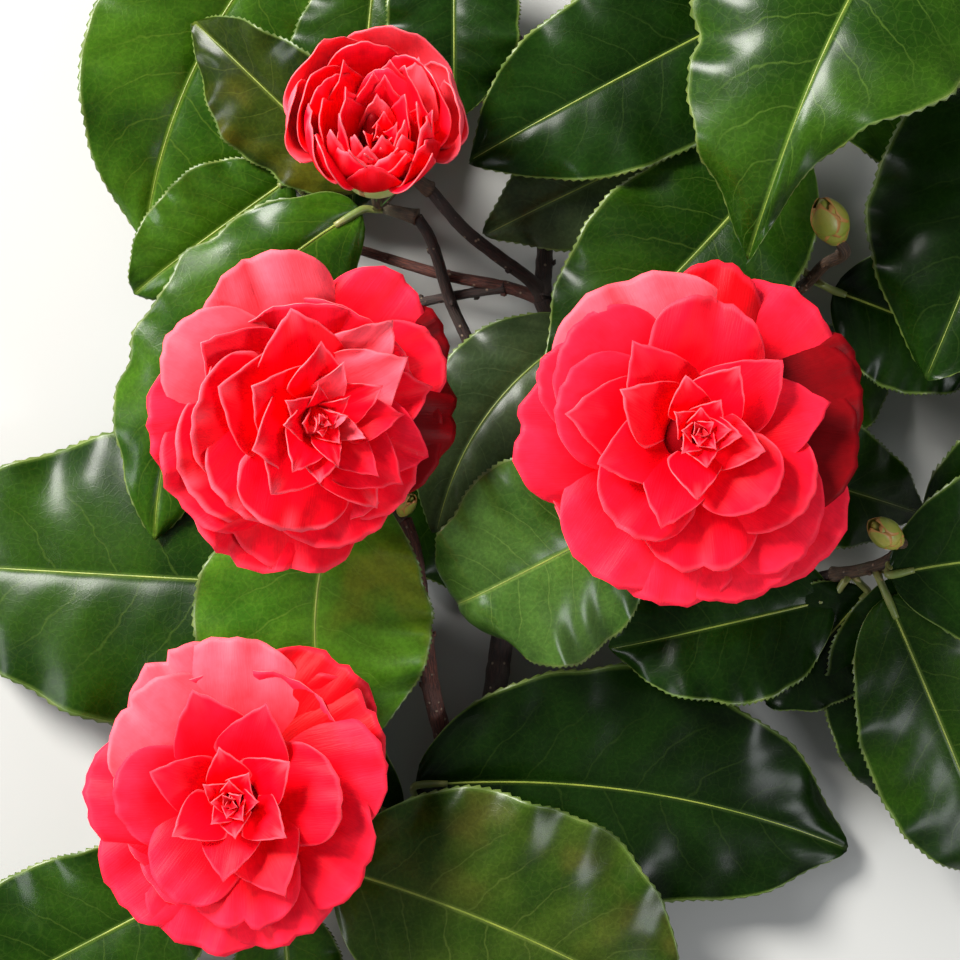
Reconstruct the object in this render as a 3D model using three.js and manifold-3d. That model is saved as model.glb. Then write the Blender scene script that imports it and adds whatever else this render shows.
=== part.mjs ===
// A cut branch of camellia with four double red blooms, lying on a level surface with its blooms up.
// Millimetres, +Z up, origin on the surface under the middle of the branch.
//
// A place on the branch is written [x, y, z]. z is its true height. x and y are read off from
// straight above, by an eye that hangs over the middle, on the level of the blooms.
import * as THREE from "three";
import { mergeVertices } from "three/addons/utils/BufferGeometryUtils.js";
import Module from "manifold-3d";

const wasm = await Module();
wasm.setup();

// Driving dimensions
const bloomLevel = 60;
const eyeAboveBlooms = 620;
const clearance = 0.3;
const cutRadius = 4.2;
const leafThickness = 1.1;
const leafEdge = 0.6;
const curlStart = 0.7;
const petioleLength = 8;
const petioleRadius = 1.1;
const wideLeaf = 40;
const calyxHeight = 6;
const calyxRadius = 8.5;
const budStalk = 5;
const bloomStalk = 7;
const sprayRadii = [1.6, 1.4];
const finestEdge = 0.05;
const leafSpacing = 5;
const limbSpacing = 2.5;
const goldenTurn = 137.5;
const tries = 40;
const shortLeaf = 56;
const longLeaf = 82;
const seed = 41;

const degree = Math.PI / 180;
const up = new THREE.Vector3(0, 0, 1);

// Limbs, each one a tapering twig: its path, and its radius where it starts and where it ends.
const limbs = {
  main_stem: {
    path: [[-2, -132, 4.2], [-3, -112, 4.6], [-3, -92, 7], [-2, -75, 11]],
    radii: [cutRadius, 3.4],
    sides: 10,
  },
  bough_left: {
    path: [[-2.6, -79, 10], [-6.5, -66, 19], [-11, -50, 26], [-12.8, -36, 29], [-15, -18, 32], [-17.5, -9, 33]],
    radii: [2.6, 1.8],
  },
  bough_middle: {
    path: [[-2, -75, 11], [3, -52, 12], [8, -22, 11], [19, 0, 11], [22, 22, 13], [14.2, 42.2, 20]],
    radii: [3.2, 2.2],
  },
  bough_upper: {
    path: [[14.2, 42.2, 20], [15, 52, 20], [15.5, 68, 17], [16, 86, 14]],
    radii: [2.1, 1.9],
  },
  bough_upper_left: {
    path: [[16, 86, 14], [10, 100, 12.5], [-4, 116, 12], [-20, 126, 12]],
    radii: [1.7, 1.4],
  },
  bough_upper_right: {
    path: [[16, 86, 14], [34, 97, 12], [56, 108, 12], [78, 116, 18], [90, 122, 25]],
    radii: [1.8, 1.4],
  },
  twig_bloom_top: {
    path: [[14.2, 42.2, 20], [12, 46, 22], [4, 52, 26.5], [-4, 58.5, 31], [-11.6, 67.4, 34]],
    radii: [1.7, 1.5],
  },
  twig_inner: {
    path: [[14.2, 42.2, 20], [5, 45, 19], [-9.3, 47.8, 18], [-30.2, 54.1, 17]],
    radii: [1.6, 1.2],
  },
  twig_behind: {
    path: [[6, 44.7, 19.2], [-2, 43.4, 17], [-13.9, 41.1, 15], [-22, 38, 14]],
    radii: [1.3, 1.1],
  },
  twig_crossing: {
    path: [[9.5, -18, 11], [5, -2, 16], [-0.7, 26.2, 22], [-6.7, 41, 26], [-11.1, 55, 28.5], [-14.6, 61, 30]],
    radii: [1.7, 1.4],
  },
  twig_right: {
    path: [[8, -22, 11], [24, -29, 10], [44, -30, 10], [66, -26, 14], [82, -22, 21]],
    radii: [2, 1.6],
  },
  twig_bud: {
    path: [[22, 18, 13], [34, 26, 10], [52, 33, 11], [68, 41, 17]],
    radii: [1.8, 1.4],
  },
  twig_lower: {
    path: [[-3, -114, 4.6], [-12, -111, 6.5], [-24, -103, 11], [-35, -94, 17]],
    radii: [2, 1.7],
  },
};

// Blooms. "eye" is the middle of the petals. The bloom faces up, leaning by "lean" degrees towards
// the direction "leanTo", in degrees anticlockwise from +X. Each petal is [direction, reach] of its
// tip from the eye, seen from above.
const blooms = {
  bloom_right: {
    eye: [51.5, 11.1, 86],
    lean: 5,
    leanTo: 10,
    depth: 31,
    radius: 42,
    fall: 19,
    steep: [66, -4],
    belly: 0.5,
    core: [[0.5, 0.3], [0.62, 0.56], [0.42, 0.74], [0.2, 0.86]],
    pointed: [[105, 13], [41, 25], [59, 17], [-93, 15], [-112, 23], [-163, 24], [152, 20], [172, 30], [126, 25]],
    rounded: [[13, 31], [-16, 15], [-45, 22], [-34, 30], [-45, 37], [18, 40], [-8, 38], [-99, 40], [-70, 40],
      [-131, 28], [-126, 40], [165, 33], [108, 38], [133, 36], [149, 38], [-42, 42], [33, 41]],
    notched: [[-87, 32], [180, 42], [81, 31], [56, 40], [83, 38]],
  },
  bloom_left: {
    eye: [-35.7, 13, 82],
    lean: 20,
    leanTo: -25,
    depth: 29,
    radius: 38,
    fall: 18,
    steep: [66, 4],
    belly: 0.5,
    core: [[0.5, 0.3], [0.62, 0.56], [0.42, 0.74], [0.2, 0.86]],
    pointed: [[41, 22], [263, 13], [153, 18], [107, 27], [147, 35], [161, 25], [200, 19], [8, 17], [314, 16]],
    rounded: [[114, 42], [151, 41], [183, 40], [213, 38], [236, 40], [260, 35], [274, 27], [324, 25], [5, 28],
      [67, 37], [50, 37], [33, 32], [93, 18], [177, 29], [203, 36], [249, 24]],
    notched: [],
  },
  bloom_top: {
    eye: [-22.5, 81.2, 66],
    lean: 34,
    leanTo: 92,
    depth: 22,
    radius: 21,
    fall: -4,
    steep: [64, 84],
    belly: 0.75,
    core: [[0.7, 0.28], [0.86, 0.7], [0.6, 0.9]],
    offset: [2.8, -7.5],
    pointed: [[136, 12], [66, 19], [22, 12], [214, 9], [313, 8]],
    rounded: [[135, 18], [87, 15], [191, 15]],
    notched: [],
    cup: [[31, 19.4], [79, 20.2], [124, 19.6], [177, 20], [219, 19.2], [273, 18.6], [316, 19.8], [4, 20.4]],
  },
  bloom_lower: {
    eye: [-58.5, -75.5, 66],
    lean: 4,
    leanTo: 180,
    depth: 30,
    radius: 36,
    fall: 16,
    steep: [66, 0],
    belly: 0.5,
    core: [[0.5, 0.3], [0.62, 0.56], [0.42, 0.74], [0.2, 0.86]],
    pointed: [[100, 13], [35, 17], [-30, 15], [-95, 18], [-150, 15], [160, 20], [70, 24], [-60, 25], [110, 27]],
    rounded: [[5, 26], [-125, 27], [180, 28], [140, 34], [92, 38], [52, 41], [12, 37], [-28, 36], [-66, 37],
      [-103, 38], [-140, 38], [-178, 36]],
    notched: [[118, 38], [32, 38], [-85, 31]],
  },
};

// Sprays. Each has one stem that starts on a limb and carries leaves, and a bloom or a bud where
// "carries" names one. "more" is how many further leaves the seeded rule adds round that stem.
// A leaf's width is across its widest part. bow bends its midrib to its left, arch lifts the
// middle, bank turns it about its length, twist adds a turn from base to tip, droop lets the tip
// hang, and curl rolls the tip under by that many degrees.
const sprays = {
  spray_low_left: {
    path: [[-12.6, -33, 29], [-15, -29.2, 29.2], [-18.5, -26, 28]],
    leaves: [
      { base: [-21, -25.5, 27], tip: [-136, -19, 8], width: 66, arch: 3, bank: 4, fold: 0.16 },
    ],
    more: 1,
  },
  spray_left: {
    carries: "bloom_left",
    path: [[-17.5, -9, 33], [-24, -2, 33.5], [-34, 8, 36]],
    leaves: [
      { base: [-29.7, 1.3, 36], tip: [-30.2, -70, 35], width: 53, bow: -8.5, arch: 3, bank: -6, fold: 0.1 },
    ],
    more: 2,
  },
  spray_right: {
    carries: "bloom_right",
    path: [[19.5, 6, 11.5], [28, 6, 16], [38, 5, 28], [45, 8, 42]],
    leaves: [
      { base: [38.5, -7, 37], tip: [-12, -32.5, 43], width: 48, arch: 4, bank: -4, curl: 110 },
    ],
    more: 2,
  },
  spray_junction: {
    path: [[21, 26, 14], [25, 30, 16], [27, 33, 20]],
    leaves: [
      { base: [24.4, 35, 22], tip: [-10.2, -12.3, 23], width: 29, bow: -7, arch: 2, bank: 6, fold: 0.2 },
    ],
    more: 0,
  },
  spray_upper: {
    path: [[62, 110, 13], [66, 113, 22], [68, 113, 31]],
    leaves: [
      { base: [67.3, 111.4, 39], tip: [-2.8, 74.2, 34], width: 42, arch: 4, bank: -2 },
    ],
    more: 0,
  },
  spray_middle_right: {
    path: [[60, 109, 12.5], [67, 99, 17], [72, 91, 23], [74, 85, 30]],
    leaves: [
      { base: [73, 79, 33], tip: [15.5, 19.7, 36], width: 46, bow: 2, arch: 3, bank: 4 },
      { base: [62, 86, 23], tip: [1, 57, 22], width: 30, arch: 2, bank: -6 },
    ],
    more: 1,
  },
  spray_far_right: {
    path: [[90, 122, 25], [98, 132, 38], [103, 142, 52]],
    leaves: [
      { base: [103.2, 140, 60], tip: [63, 52, 66], width: 61, bow: -5, arch: 12, bank: 6, fold: 0.26, droop: 8 },
    ],
    more: 2,
  },
  spray_right_edge: {
    path: [[84, 119, 21], [100, 116, 22], [118, 112, 28], [130, 108, 36]],
    leaves: [
      { base: [134, 104, 38], tip: [103.9, 23.7, 44], width: 56, arch: 4, bank: 8 },
    ],
    more: 2,
  },
  spray_upper_left: {
    path: [[-20, 126, 12], [-28, 130, 13], [-36, 134, 15]],
    leaves: [
      { base: [-40.6, 132, 15], tip: [-78, 56, 13], width: 51, bow: -7, arch: 3, bank: -10, droop: 2 },
      { base: [-24, 122, 17], tip: [-30, 62, 8], width: 36, arch: 3 },
      { base: [-6, 126, 20], tip: [-6, 84, 20], width: 30, arch: 3 },
    ],
    more: 2,
  },
  spray_top: {
    carries: "bloom_top",
    path: [[-11.6, 67.4, 34], [-17, 70, 37]],
    leaves: [],
    more: 1,
  },
  spray_crossing: {
    path: [[-14.6, 61, 30], [-18.5, 62, 29], [-22, 63, 27.5]],
    leaves: [
      { base: [-27.5, 62.6, 28.5], tip: [-75.9, -14.2, 28], width: 42, bow: -13, arch: 4, bank: -12, twist: 10 },
      { base: [-26.5, 67.5, 25.5], tip: [-66.8, 106.7, 28], width: 30, arch: 3, bank: -34, twist: 16, fold: 0.3 },
    ],
    more: 0,
  },
  spray_inner: {
    path: [[-30.2, 54.1, 17], [-36, 60, 17], [-40, 66, 18]],
    leaves: [
      { base: [-44, 70, 17], tip: [-81, 43, 12], width: 28, arch: 2, bank: -10 },
    ],
    more: 1,
  },
  spray_behind: {
    path: [[-22, 38, 14], [-30, 36, 14], [-38, 35, 15]],
    leaves: [],
    more: 2,
  },
  spray_right_low: {
    carries: "bud_right",
    path: [[82, -22, 21], [88, -21, 27], [94, -19, 34]],
    leaves: [
      { base: [95, -22, 38], tip: [172, -23, 30], width: 45, bow: 5, arch: 5, bank: 8 },
      { base: [82, -27.5, 22], tip: [30.2, -39.4, 24], width: 36, arch: 3, bank: 6 },
      { base: [90, -26, 22], tip: [66, -52, 17], width: 27, arch: 2 },
      { base: [99, -22, 24], tip: [92, -74, 10], width: 30, arch: 3 },
    ],
    more: 2,
  },
  spray_bud: {
    carries: "bud_upper",
    path: [[68, 41, 17], [75, 45, 23], [80, 50, 33]],
    leaves: [
      { base: [74, 50, 25], tip: [40, 46, 22], width: 26, arch: 3 },
      { base: [82, 44, 25], tip: [122, 28, 20], width: 32, arch: 3 },
    ],
    more: 1,
  },
  spray_lower: {
    carries: "bloom_lower",
    path: [[-35, -94, 17], [-42, -90, 21], [-50, -82, 26]],
    leaves: [
      { base: [-34, -90, 27], tip: [46, -125, 20], width: 61, bow: 4, arch: 6, bank: 4, fold: 0.14 },
      { base: [-62, -92, 24], tip: [-128, -126, 10], width: 40, arch: 4 },
      { base: [-46, -97, 17], tip: [-42, -136, 8], width: 24, arch: 3 },
    ],
    more: 1,
  },
  spray_base: {
    path: [[-3, -92, 7], [-10, -84, 13], [-15, -77, 18]],
    leaves: [
      { base: [-15, -71, 21], tip: [86, -86, 9], width: 54, bow: 7, arch: 3, bank: 4, fold: 0.14 },
    ],
    more: 1,
  },
};

// Closed buds: the plan place of the base, its length and radius, and the way that it points.
const buds = {
  bud_upper: { base: [83, 56, 43], tip: [79, 65, 51], radius: 4.2 },
  bud_right: { base: [97, -14.5, 42], tip: [93.5, -13, 52], radius: 4 },
  bud_left: { base: [-18.4, -7.7, 35.2], tip: [-15.6, -4, 42], radius: 1.6 },
};

// The seeded rule keeps to the crown: its lowest and highest x and y.
const crown = { low: [-142, -146], high: [178, 176] };

// Places where it grows nothing, so that the surface behind shows: the middle and its radius.
const openPlaces = [
  { middle: [-103, 30], radius: 24 },
  { middle: [6, 30], radius: 12 },
  { middle: [0, 55], radius: 9 },
  { middle: [-4, -50], radius: 8 },
  { middle: [-118, 105], radius: 26 },
  { middle: [-132, -60], radius: 24 },
];

// The true place in space of [x, y, z] as the eye reads it.
function place([x, y, z]) {
  const spread = (bloomLevel + eyeAboveBlooms - z) / eyeAboveBlooms;
  return new THREE.Vector3(x * spread, y * spread, z);
}

// A number from 0 to 1, the same in each run.
let state = seed;
function random() {
  state = (state + 0x6d2b79f5) | 0;
  let mixed = Math.imul(state ^ (state >>> 15), 1 | state);
  mixed = (mixed + Math.imul(mixed ^ (mixed >>> 7), 61 | mixed)) ^ mixed;
  return ((mixed ^ (mixed >>> 14)) >>> 0) / 4294967296;
}

// A closed solid over rings of points, each ring with the same number of points.
function solidFromRings(rings) {
  const count = rings[0].length;
  const last = (rings.length - 1) * count;
  const triVerts = [];
  for (let row = 0; row < last; row += count) {
    for (let i = 0; i < count; i += 1) {
      const next = (i + 1) % count;
      triVerts.push(row + i, row + next, row + count + next);
      triVerts.push(row + i, row + count + next, row + count + i);
    }
  }
  for (let i = 1; i + 1 < count; i += 1) {
    triVerts.push(0, i + 1, i);
    triVerts.push(last, last + i, last + i + 1);
  }
  return solidFromTriangles(rings.flat(), triVerts);
}

// A closed solid from its corners and triangles, which all face the same way, out or in.
function solidFromTriangles(points, triVerts) {
  let volume = 0;
  for (let i = 0; i < triVerts.length; i += 3) {
    const [a, b, c] = [points[triVerts[i]], points[triVerts[i + 1]], points[triVerts[i + 2]]];
    volume += a.dot(new THREE.Vector3().crossVectors(b, c));
  }
  if (volume < 0) {
    triVerts.reverse();
  }
  return new wasm.Manifold(new wasm.Mesh({
    numProp: 3,
    vertProperties: new Float32Array(points.flatMap((point) => point.toArray())),
    triVerts: new Uint32Array(triVerts),
    tolerance: finestEdge,
  }));
}

// The solid of a three.js geometry, moved by a matrix.
function solidFromGeometry(geometry, matrix = new THREE.Matrix4()) {
  const bare = geometry.clone().applyMatrix4(matrix);
  bare.deleteAttribute("normal");
  bare.deleteAttribute("uv");
  const merged = mergeVertices(bare, 1e-3);
  return new wasm.Manifold(new wasm.Mesh({
    numProp: 3,
    vertProperties: merged.attributes.position.array,
    triVerts: new Uint32Array(merged.index.array),
    tolerance: finestEdge,
  }));
}

// The largest body of a solid, with any sealed hollow in it filled and loose scraps dropped.
function oneBody(solid) {
  const pieces = solid.decompose();
  pieces.sort((a, b) => b.volume() - a.volume());
  return pieces[0];
}

function union(solids) {
  return oneBody(solids.reduce((whole, piece) => whole.add(piece)));
}

function curveThrough(points) {
  return new THREE.CatmullRomCurve3(points, false, "catmullrom", 0.5);
}

// A round twig through points, tapering evenly. "grow" makes it thicker and longer.
function twig(points, [startRadius, endRadius], sides = 6, stepsPerSpan = 2, grow = 0) {
  const curve = curveThrough(points);
  const steps = (points.length - 1) * stepsPerSpan;
  const centres = curve.getPoints(steps);
  const rings = [];
  let side;
  for (let i = 0; i <= steps; i += 1) {
    const before = centres[Math.max(0, i - 1)];
    const after = centres[Math.min(steps, i + 1)];
    const ahead = after.clone().sub(before).normalize();
    side ??= new THREE.Vector3().crossVectors(ahead, up).normalize();
    side.addScaledVector(ahead, -side.dot(ahead)).normalize();
    const top = new THREE.Vector3().crossVectors(side, ahead);
    const centre = centres[i].clone();
    if (i === 0) {
      centre.addScaledVector(ahead, -grow);
    }
    if (i === steps) {
      centre.addScaledVector(ahead, grow);
    }
    const radius = startRadius + (endRadius - startRadius) * (i / steps) + grow;
    const ring = [];
    for (let k = 0; k < sides; k += 1) {
      const turn = ((k + 0.5) / sides) * 2 * Math.PI;
      ring.push(centre.clone()
        .addScaledVector(side, radius * Math.cos(turn))
        .addScaledVector(top, radius * Math.sin(turn)));
    }
    rings.push(ring);
  }
  return solidFromRings(rings);
}

// Half the width of a leaf at t from base to tip, against its widest half.
function leafOutline(t) {
  const oval = Math.sin(Math.PI * Math.max(0, Math.min(1, t)) ** 0.88) ** 0.64;
  const taper = Math.max(0, (t - 0.78) / 0.22) ** 1.5;
  return oval * (1 - 0.45 * taper);
}

// The surface of a leaf: t runs from base to tip, s from the right margin (-1) to the left (1).
function leafSurface(leaf) {
  const { base, tip, width, bow = 0, arch = 3, bank = 0, twist = 0, fold = 0.2, dome = 0.16 } = leaf;
  const { droop = 3, curl = 0 } = leaf;
  const along = tip.clone().sub(base);
  const length = along.length();
  along.normalize();
  const rise = up.clone().addScaledVector(along, -along.z).normalize();
  const left = new THREE.Vector3().crossVectors(rise, along);
  const midrib = (t) => {
    const swell = 4 * t * (1 - t);
    const past = Math.max(0, t - curlStart);
    let forward = t * length;
    let hang = droop * (past / (1 - curlStart)) ** 2;
    if (curl > 0) {
      const rolled = curl * degree * past / (1 - curlStart);
      const roll = (1 - curlStart) * length / (curl * degree);
      forward = Math.min(t, curlStart) * length + roll * Math.sin(rolled);
      hang += roll * (1 - Math.cos(rolled));
    }
    return base.clone()
      .addScaledVector(along, forward)
      .addScaledVector(left, bow * swell)
      .addScaledVector(rise, arch * swell - hang);
  };
  return (t, s, below = 0) => {
    const ahead = midrib(t + 0.01).sub(midrib(t - 0.01)).normalize();
    const turn = (bank + twist * (t - 0.5)) * degree;
    const across = left.clone().multiplyScalar(Math.cos(turn)).addScaledVector(rise, Math.sin(turn));
    across.addScaledVector(ahead, -across.dot(ahead)).normalize();
    const normal = new THREE.Vector3().crossVectors(ahead, across);
    const half = 0.5 * width * leafOutline(t) + leafEdge;
    const height = half * (fold * Math.abs(s) - dome * s * s);
    return midrib(t).addScaledVector(across, s * half).addScaledVector(normal, height - below);
  };
}

// A leaf as one blade of even thickness, with its petiole back to a point inside its stem.
function leafSolid(leaf, root) {
  const surface = leafSurface(leaf);
  const stations = [0, 0.12, 0.32, 0.52, 0.72, 0.88, 1];
  const across = leaf.width > wideLeaf ? [-1, -0.5, 0, 0.5, 1] : [-1, 0, 1];
  const base = surface(0, 0, 0.5 * leafThickness);
  const ahead = base.clone().sub(root).normalize();
  const side = surface(0, 1).sub(surface(0, -1));
  side.addScaledVector(ahead, -side.dot(ahead)).normalize();
  const top = new THREE.Vector3().crossVectors(ahead, side);
  const stalk = [0, 0.55].map((t) => {
    const centre = root.clone().lerp(base, t);
    const around = (s, sense) => centre.clone()
      .addScaledVector(side, sense * s * petioleRadius)
      .addScaledVector(top, sense * petioleRadius * (0.3 + 0.6 * Math.sqrt(1 - s * s)));
    return [...across.map((s) => around(s, 1)), ...across.map((s) => around(s, -1))];
  });
  const blade = stations.map((t) => [
    ...across.map((s) => surface(t, s)),
    ...across.map((s) => surface(t, -s, leafThickness)),
  ]);
  return solidFromRings([...stalk, ...blade]);
}

// The point of a path that lies nearest to a place.
function nearestPoint(points, target) {
  const samples = curveThrough(points).getPoints(24).slice(4, -1);
  return samples.reduce((best, point) => (
    point.distanceTo(target) < best.distanceTo(target) ? point : best));
}

// Where a bloom sits: its base, and the turn from straight up to the way it faces.
function bloomSeat({ eye, lean, leanTo, depth, offset = [0, 0] }) {
  const axis = new THREE.Vector3(
    Math.sin(lean * degree) * Math.cos(leanTo * degree),
    Math.sin(lean * degree) * Math.sin(leanTo * degree),
    Math.cos(lean * degree),
  );
  const turn = new THREE.Quaternion().setFromUnitVectors(up, axis);
  const middle = new THREE.Vector3(offset[0], offset[1], depth).applyQuaternion(turn);
  return { axis, turn, base: place(eye).sub(middle) };
}

// The height of a petal's tip over the bloom's base, falling from the eye to the rim.
function tipHeight({ depth, fall, radius }, reach) {
  return depth - fall * (reach / radius) ** 2;
}

// A petal's width, growing with how far out its tip lies.
function petalWidth(reach) {
  return 4 + 0.8 * reach;
}

// A petal's tip in the bloom's own frame, from its direction and reach seen from above.
function petalTip(bloom, turn, direction, reach) {
  const { depth, offset = [0, 0] } = bloom;
  const eye = new THREE.Vector3(offset[0], offset[1], depth);
  const seenEye = eye.clone().applyQuaternion(turn);
  const goal = new THREE.Vector3(Math.cos(direction * degree), Math.sin(direction * degree), 0)
    .multiplyScalar(reach)
    .add(seenEye);
  const tip = eye.clone();
  for (let round = 0; round < 8; round += 1) {
    const seen = tip.clone().applyQuaternion(turn);
    tip.x += goal.x - seen.x;
    tip.y += goal.y - seen.y;
    tip.z = tipHeight(bloom, Math.hypot(tip.x - eye.x, tip.y - eye.y));
  }
  return tip;
}

// A petal: a curved face from the bloom's foot to its tip, backed by a wedge that runs into the core.
function petalSolid(bloom, tip, kind, width, steepness) {
  const { depth, belly, offset = [0, 0] } = bloom;
  const outward = new THREE.Vector3(tip.x - offset[0], tip.y - offset[1], 0);
  const reach = outward.length();
  outward.normalize();
  const sideways = new THREE.Vector3().crossVectors(up, outward);
  const foot = new THREE.Vector3(0, 0, 0.2 * depth).addScaledVector(outward, 2 + 0.06 * reach);
  const pull = belly * tip.distanceTo(foot);
  const bend = tip.clone()
    .addScaledVector(outward, -pull * Math.cos(steepness * degree))
    .addScaledVector(up, -pull * Math.sin(steepness * degree));
  const spine = new THREE.QuadraticBezierCurve3(foot, bend, tip);
  const cupping = 0.5 - 0.42 * Math.min(1, reach / bloom.radius);
  const [cut, power] = kind === "pointed" ? [0.42, 1.2] : [0.3, 2.4];
  const across = kind === "pointed" ? [-1, 0, 1] : [-1, -0.45, 0.45, 1];
  const rows = [0.42, 0.74, 1];
  const points = rows.flatMap((v) => across.map((u) => {
    const at = v * (1 - cut * Math.abs(u) ** power);
    const half = 0.5 * width * (0.3 + 0.7 * Math.sin(0.5 * Math.PI * Math.min(1, v / 0.7)));
    const normal = new THREE.Vector3().crossVectors(spine.getTangent(at), sideways);
    return spine.getPoint(at)
      .addScaledVector(sideways, u * half)
      .addScaledVector(normal, cupping * half * u * u);
  }));
  const columns = across.length;
  const edge = [
    ...across.map((_, i) => i),
    2 * columns - 1,
    ...across.map((_, i) => 3 * columns - 1 - i),
    columns,
  ];
  const back = foot.clone().addScaledVector(outward, 0.35 * reach).addScaledVector(up, 0.1 * tip.z);
  points.push(back);
  const triVerts = [];
  for (let row = 0; row < 2; row += 1) {
    for (let i = 0; i + 1 < columns; i += 1) {
      const corner = row * columns + i;
      triVerts.push(corner, corner + 1, corner + columns + 1);
      triVerts.push(corner, corner + columns + 1, corner + columns);
    }
  }
  edge.forEach((corner, i) => {
    triVerts.push(corner, points.length - 1, edge[(i + 1) % edge.length]);
  });
  return solidFromTriangles(points, triVerts);
}

// A bloom: its petals fused to a core that fills the space under them.
function bloomSolid(bloom, turn) {
  const { depth, radius, steep, offset = [0, 0] } = bloom;
  const core = new THREE.LatheGeometry([
    new THREE.Vector2(0, 0),
    new THREE.Vector2(4, 0),
    ...bloom.core.map(([out, height]) => new THREE.Vector2(out * radius, height * depth)),
    new THREE.Vector2(0, 0.96 * depth),
  ], 8);
  core.rotateX(Math.PI / 2);
  const lean = new THREE.Matrix4().makeShear(0, 0, 0, 0, offset[0] / depth, offset[1] / depth);
  const solids = [solidFromGeometry(core, lean)];
  for (const kind of ["pointed", "rounded", "notched"]) {
    for (const [direction, reach] of bloom[kind]) {
      const tip = petalTip(bloom, turn, direction, reach);
      const out = Math.hypot(tip.x - offset[0], tip.y - offset[1]);
      const steepness = steep[0] + (steep[1] - steep[0]) * Math.min(1, out / radius);
      solids.push(petalSolid(bloom, tip, kind, petalWidth(out), steepness));
    }
  }
  for (const [direction, reach] of bloom.cup ?? []) {
    const tip = new THREE.Vector3(Math.cos(direction * degree), Math.sin(direction * degree), 0)
      .multiplyScalar(reach)
      .setZ(1.25 * depth);
    solids.push(petalSolid({ ...bloom, offset: [0, 0], belly: 0.8 }, tip, "rounded", 1.1 * reach, 96));
  }
  return union(solids);
}

// The calyx: a shallow cup of sepals round the bloom's foot.
function calyxGeometry() {
  const geometry = new THREE.LatheGeometry([
    new THREE.Vector2(0, -calyxHeight),
    new THREE.Vector2(2.4, -calyxHeight),
    new THREE.Vector2(0.75 * calyxRadius, -0.45 * calyxHeight),
    new THREE.Vector2(0.9 * calyxRadius, -clearance),
    new THREE.Vector2(0, -clearance),
  ], 10);
  return geometry.rotateX(Math.PI / 2);
}

// A closed bud, from its base along +Z.
function budGeometry(length, radius) {
  const geometry = new THREE.LatheGeometry([
    new THREE.Vector2(0, 0),
    new THREE.Vector2(0.45 * radius, 0),
    new THREE.Vector2(radius, 0.35 * length),
    new THREE.Vector2(0.7 * radius, 0.72 * length),
    new THREE.Vector2(0, length),
  ], 8);
  return geometry.rotateX(Math.PI / 2);
}

// Points spread over a leaf, to see what it comes close to.
function leafSamples(leaf) {
  const surface = leafSurface(leaf);
  const samples = [];
  for (let i = 0; i <= 12; i += 1) {
    for (let k = -4; k <= 4; k += 1) {
      samples.push(surface(i / 12, k / 4));
    }
  }
  return samples;
}

// Whether a leaf would leave its space, or come close to a limb, a bloom or another leaf.
function leafIsClear(samples, taken, seats) {
  for (const point of samples) {
    if (point.z < 1.6 || point.x < crown.low[0] || point.x > crown.high[0]
      || point.y < crown.low[1] || point.y > crown.high[1]) {
      return false;
    }
    const spread = (bloomLevel + eyeAboveBlooms - point.z) / eyeAboveBlooms;
    for (const { middle, radius } of openPlaces) {
      if (Math.hypot(point.x / spread - middle[0], point.y / spread - middle[1]) < radius) {
        return false;
      }
    }
    for (const { seat, radius } of seats) {
      const local = point.clone().sub(seat.base).applyQuaternion(seat.turn.clone().invert());
      const out = Math.hypot(local.x, local.y);
      if (out < radius + 2 && local.z > (out < 12 ? -9 : 3)) {
        return false;
      }
    }
    for (const { points, reach } of taken) {
      for (const other of points) {
        if (point.distanceToSquared(other) < reach * reach) {
          return false;
        }
      }
    }
  }
  return true;
}

// The leaves that the seeded rule adds to a spray: the golden turn round its stem, hanging down
// towards the surface. One that isn't clear is tried again elsewhere, and skipped in the end.
function furtherLeaves(points, count, taken, seats) {
  const curve = curveThrough(points);
  const grown = [];
  let heading = 360 * random();
  for (let k = 0; k < count; k += 1) {
    for (let attempt = 0; attempt < tries; attempt += 1) {
      heading += goldenTurn;
      const start = curve.getPoint(0.25 + 0.6 * random());
      const ahead = new THREE.Vector3(Math.cos(heading * degree), Math.sin(heading * degree), 0);
      const length = shortLeaf + (longLeaf - shortLeaf) * random();
      const base = start.clone().addScaledVector(ahead, petioleLength).setZ(start.z - 1);
      const tip = base.clone().addScaledVector(ahead, length);
      tip.z = 3 + 0.4 * start.z * random();
      const leaf = { base, tip, width: 0.5 * length, arch: 3, bank: 16 * random() - 8 };
      const samples = leafSamples(leaf);
      if (leafIsClear(samples, taken, seats)) {
        grown.push({ leaf, root: start });
        taken.push({ points: samples, reach: leafSpacing });
        break;
      }
    }
  }
  return grown;
}

function meshOf(solid, name, material) {
  const { vertProperties, triVerts } = solid.getMesh();
  const indexed = new THREE.BufferGeometry();
  indexed.setAttribute("position", new THREE.BufferAttribute(vertProperties, 3));
  indexed.setIndex(new THREE.BufferAttribute(triVerts, 1));
  const geometry = indexed.toNonIndexed();
  geometry.computeVertexNormals();
  const mesh = new THREE.Mesh(geometry, material);
  mesh.name = name;
  return mesh;
}

const bark = new THREE.MeshStandardMaterial({ color: 0x4a3226, roughness: 0.85, metalness: 0 });
const foliage = new THREE.MeshStandardMaterial({ color: 0x2c5a18, roughness: 0.35, metalness: 0 });
const petals = new THREE.MeshStandardMaterial({ color: 0xd81a30, roughness: 0.6, metalness: 0 });
const scales = new THREE.MeshStandardMaterial({ color: 0x9aa24a, roughness: 0.6, metalness: 0 });

const branch = new THREE.Group();

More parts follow.
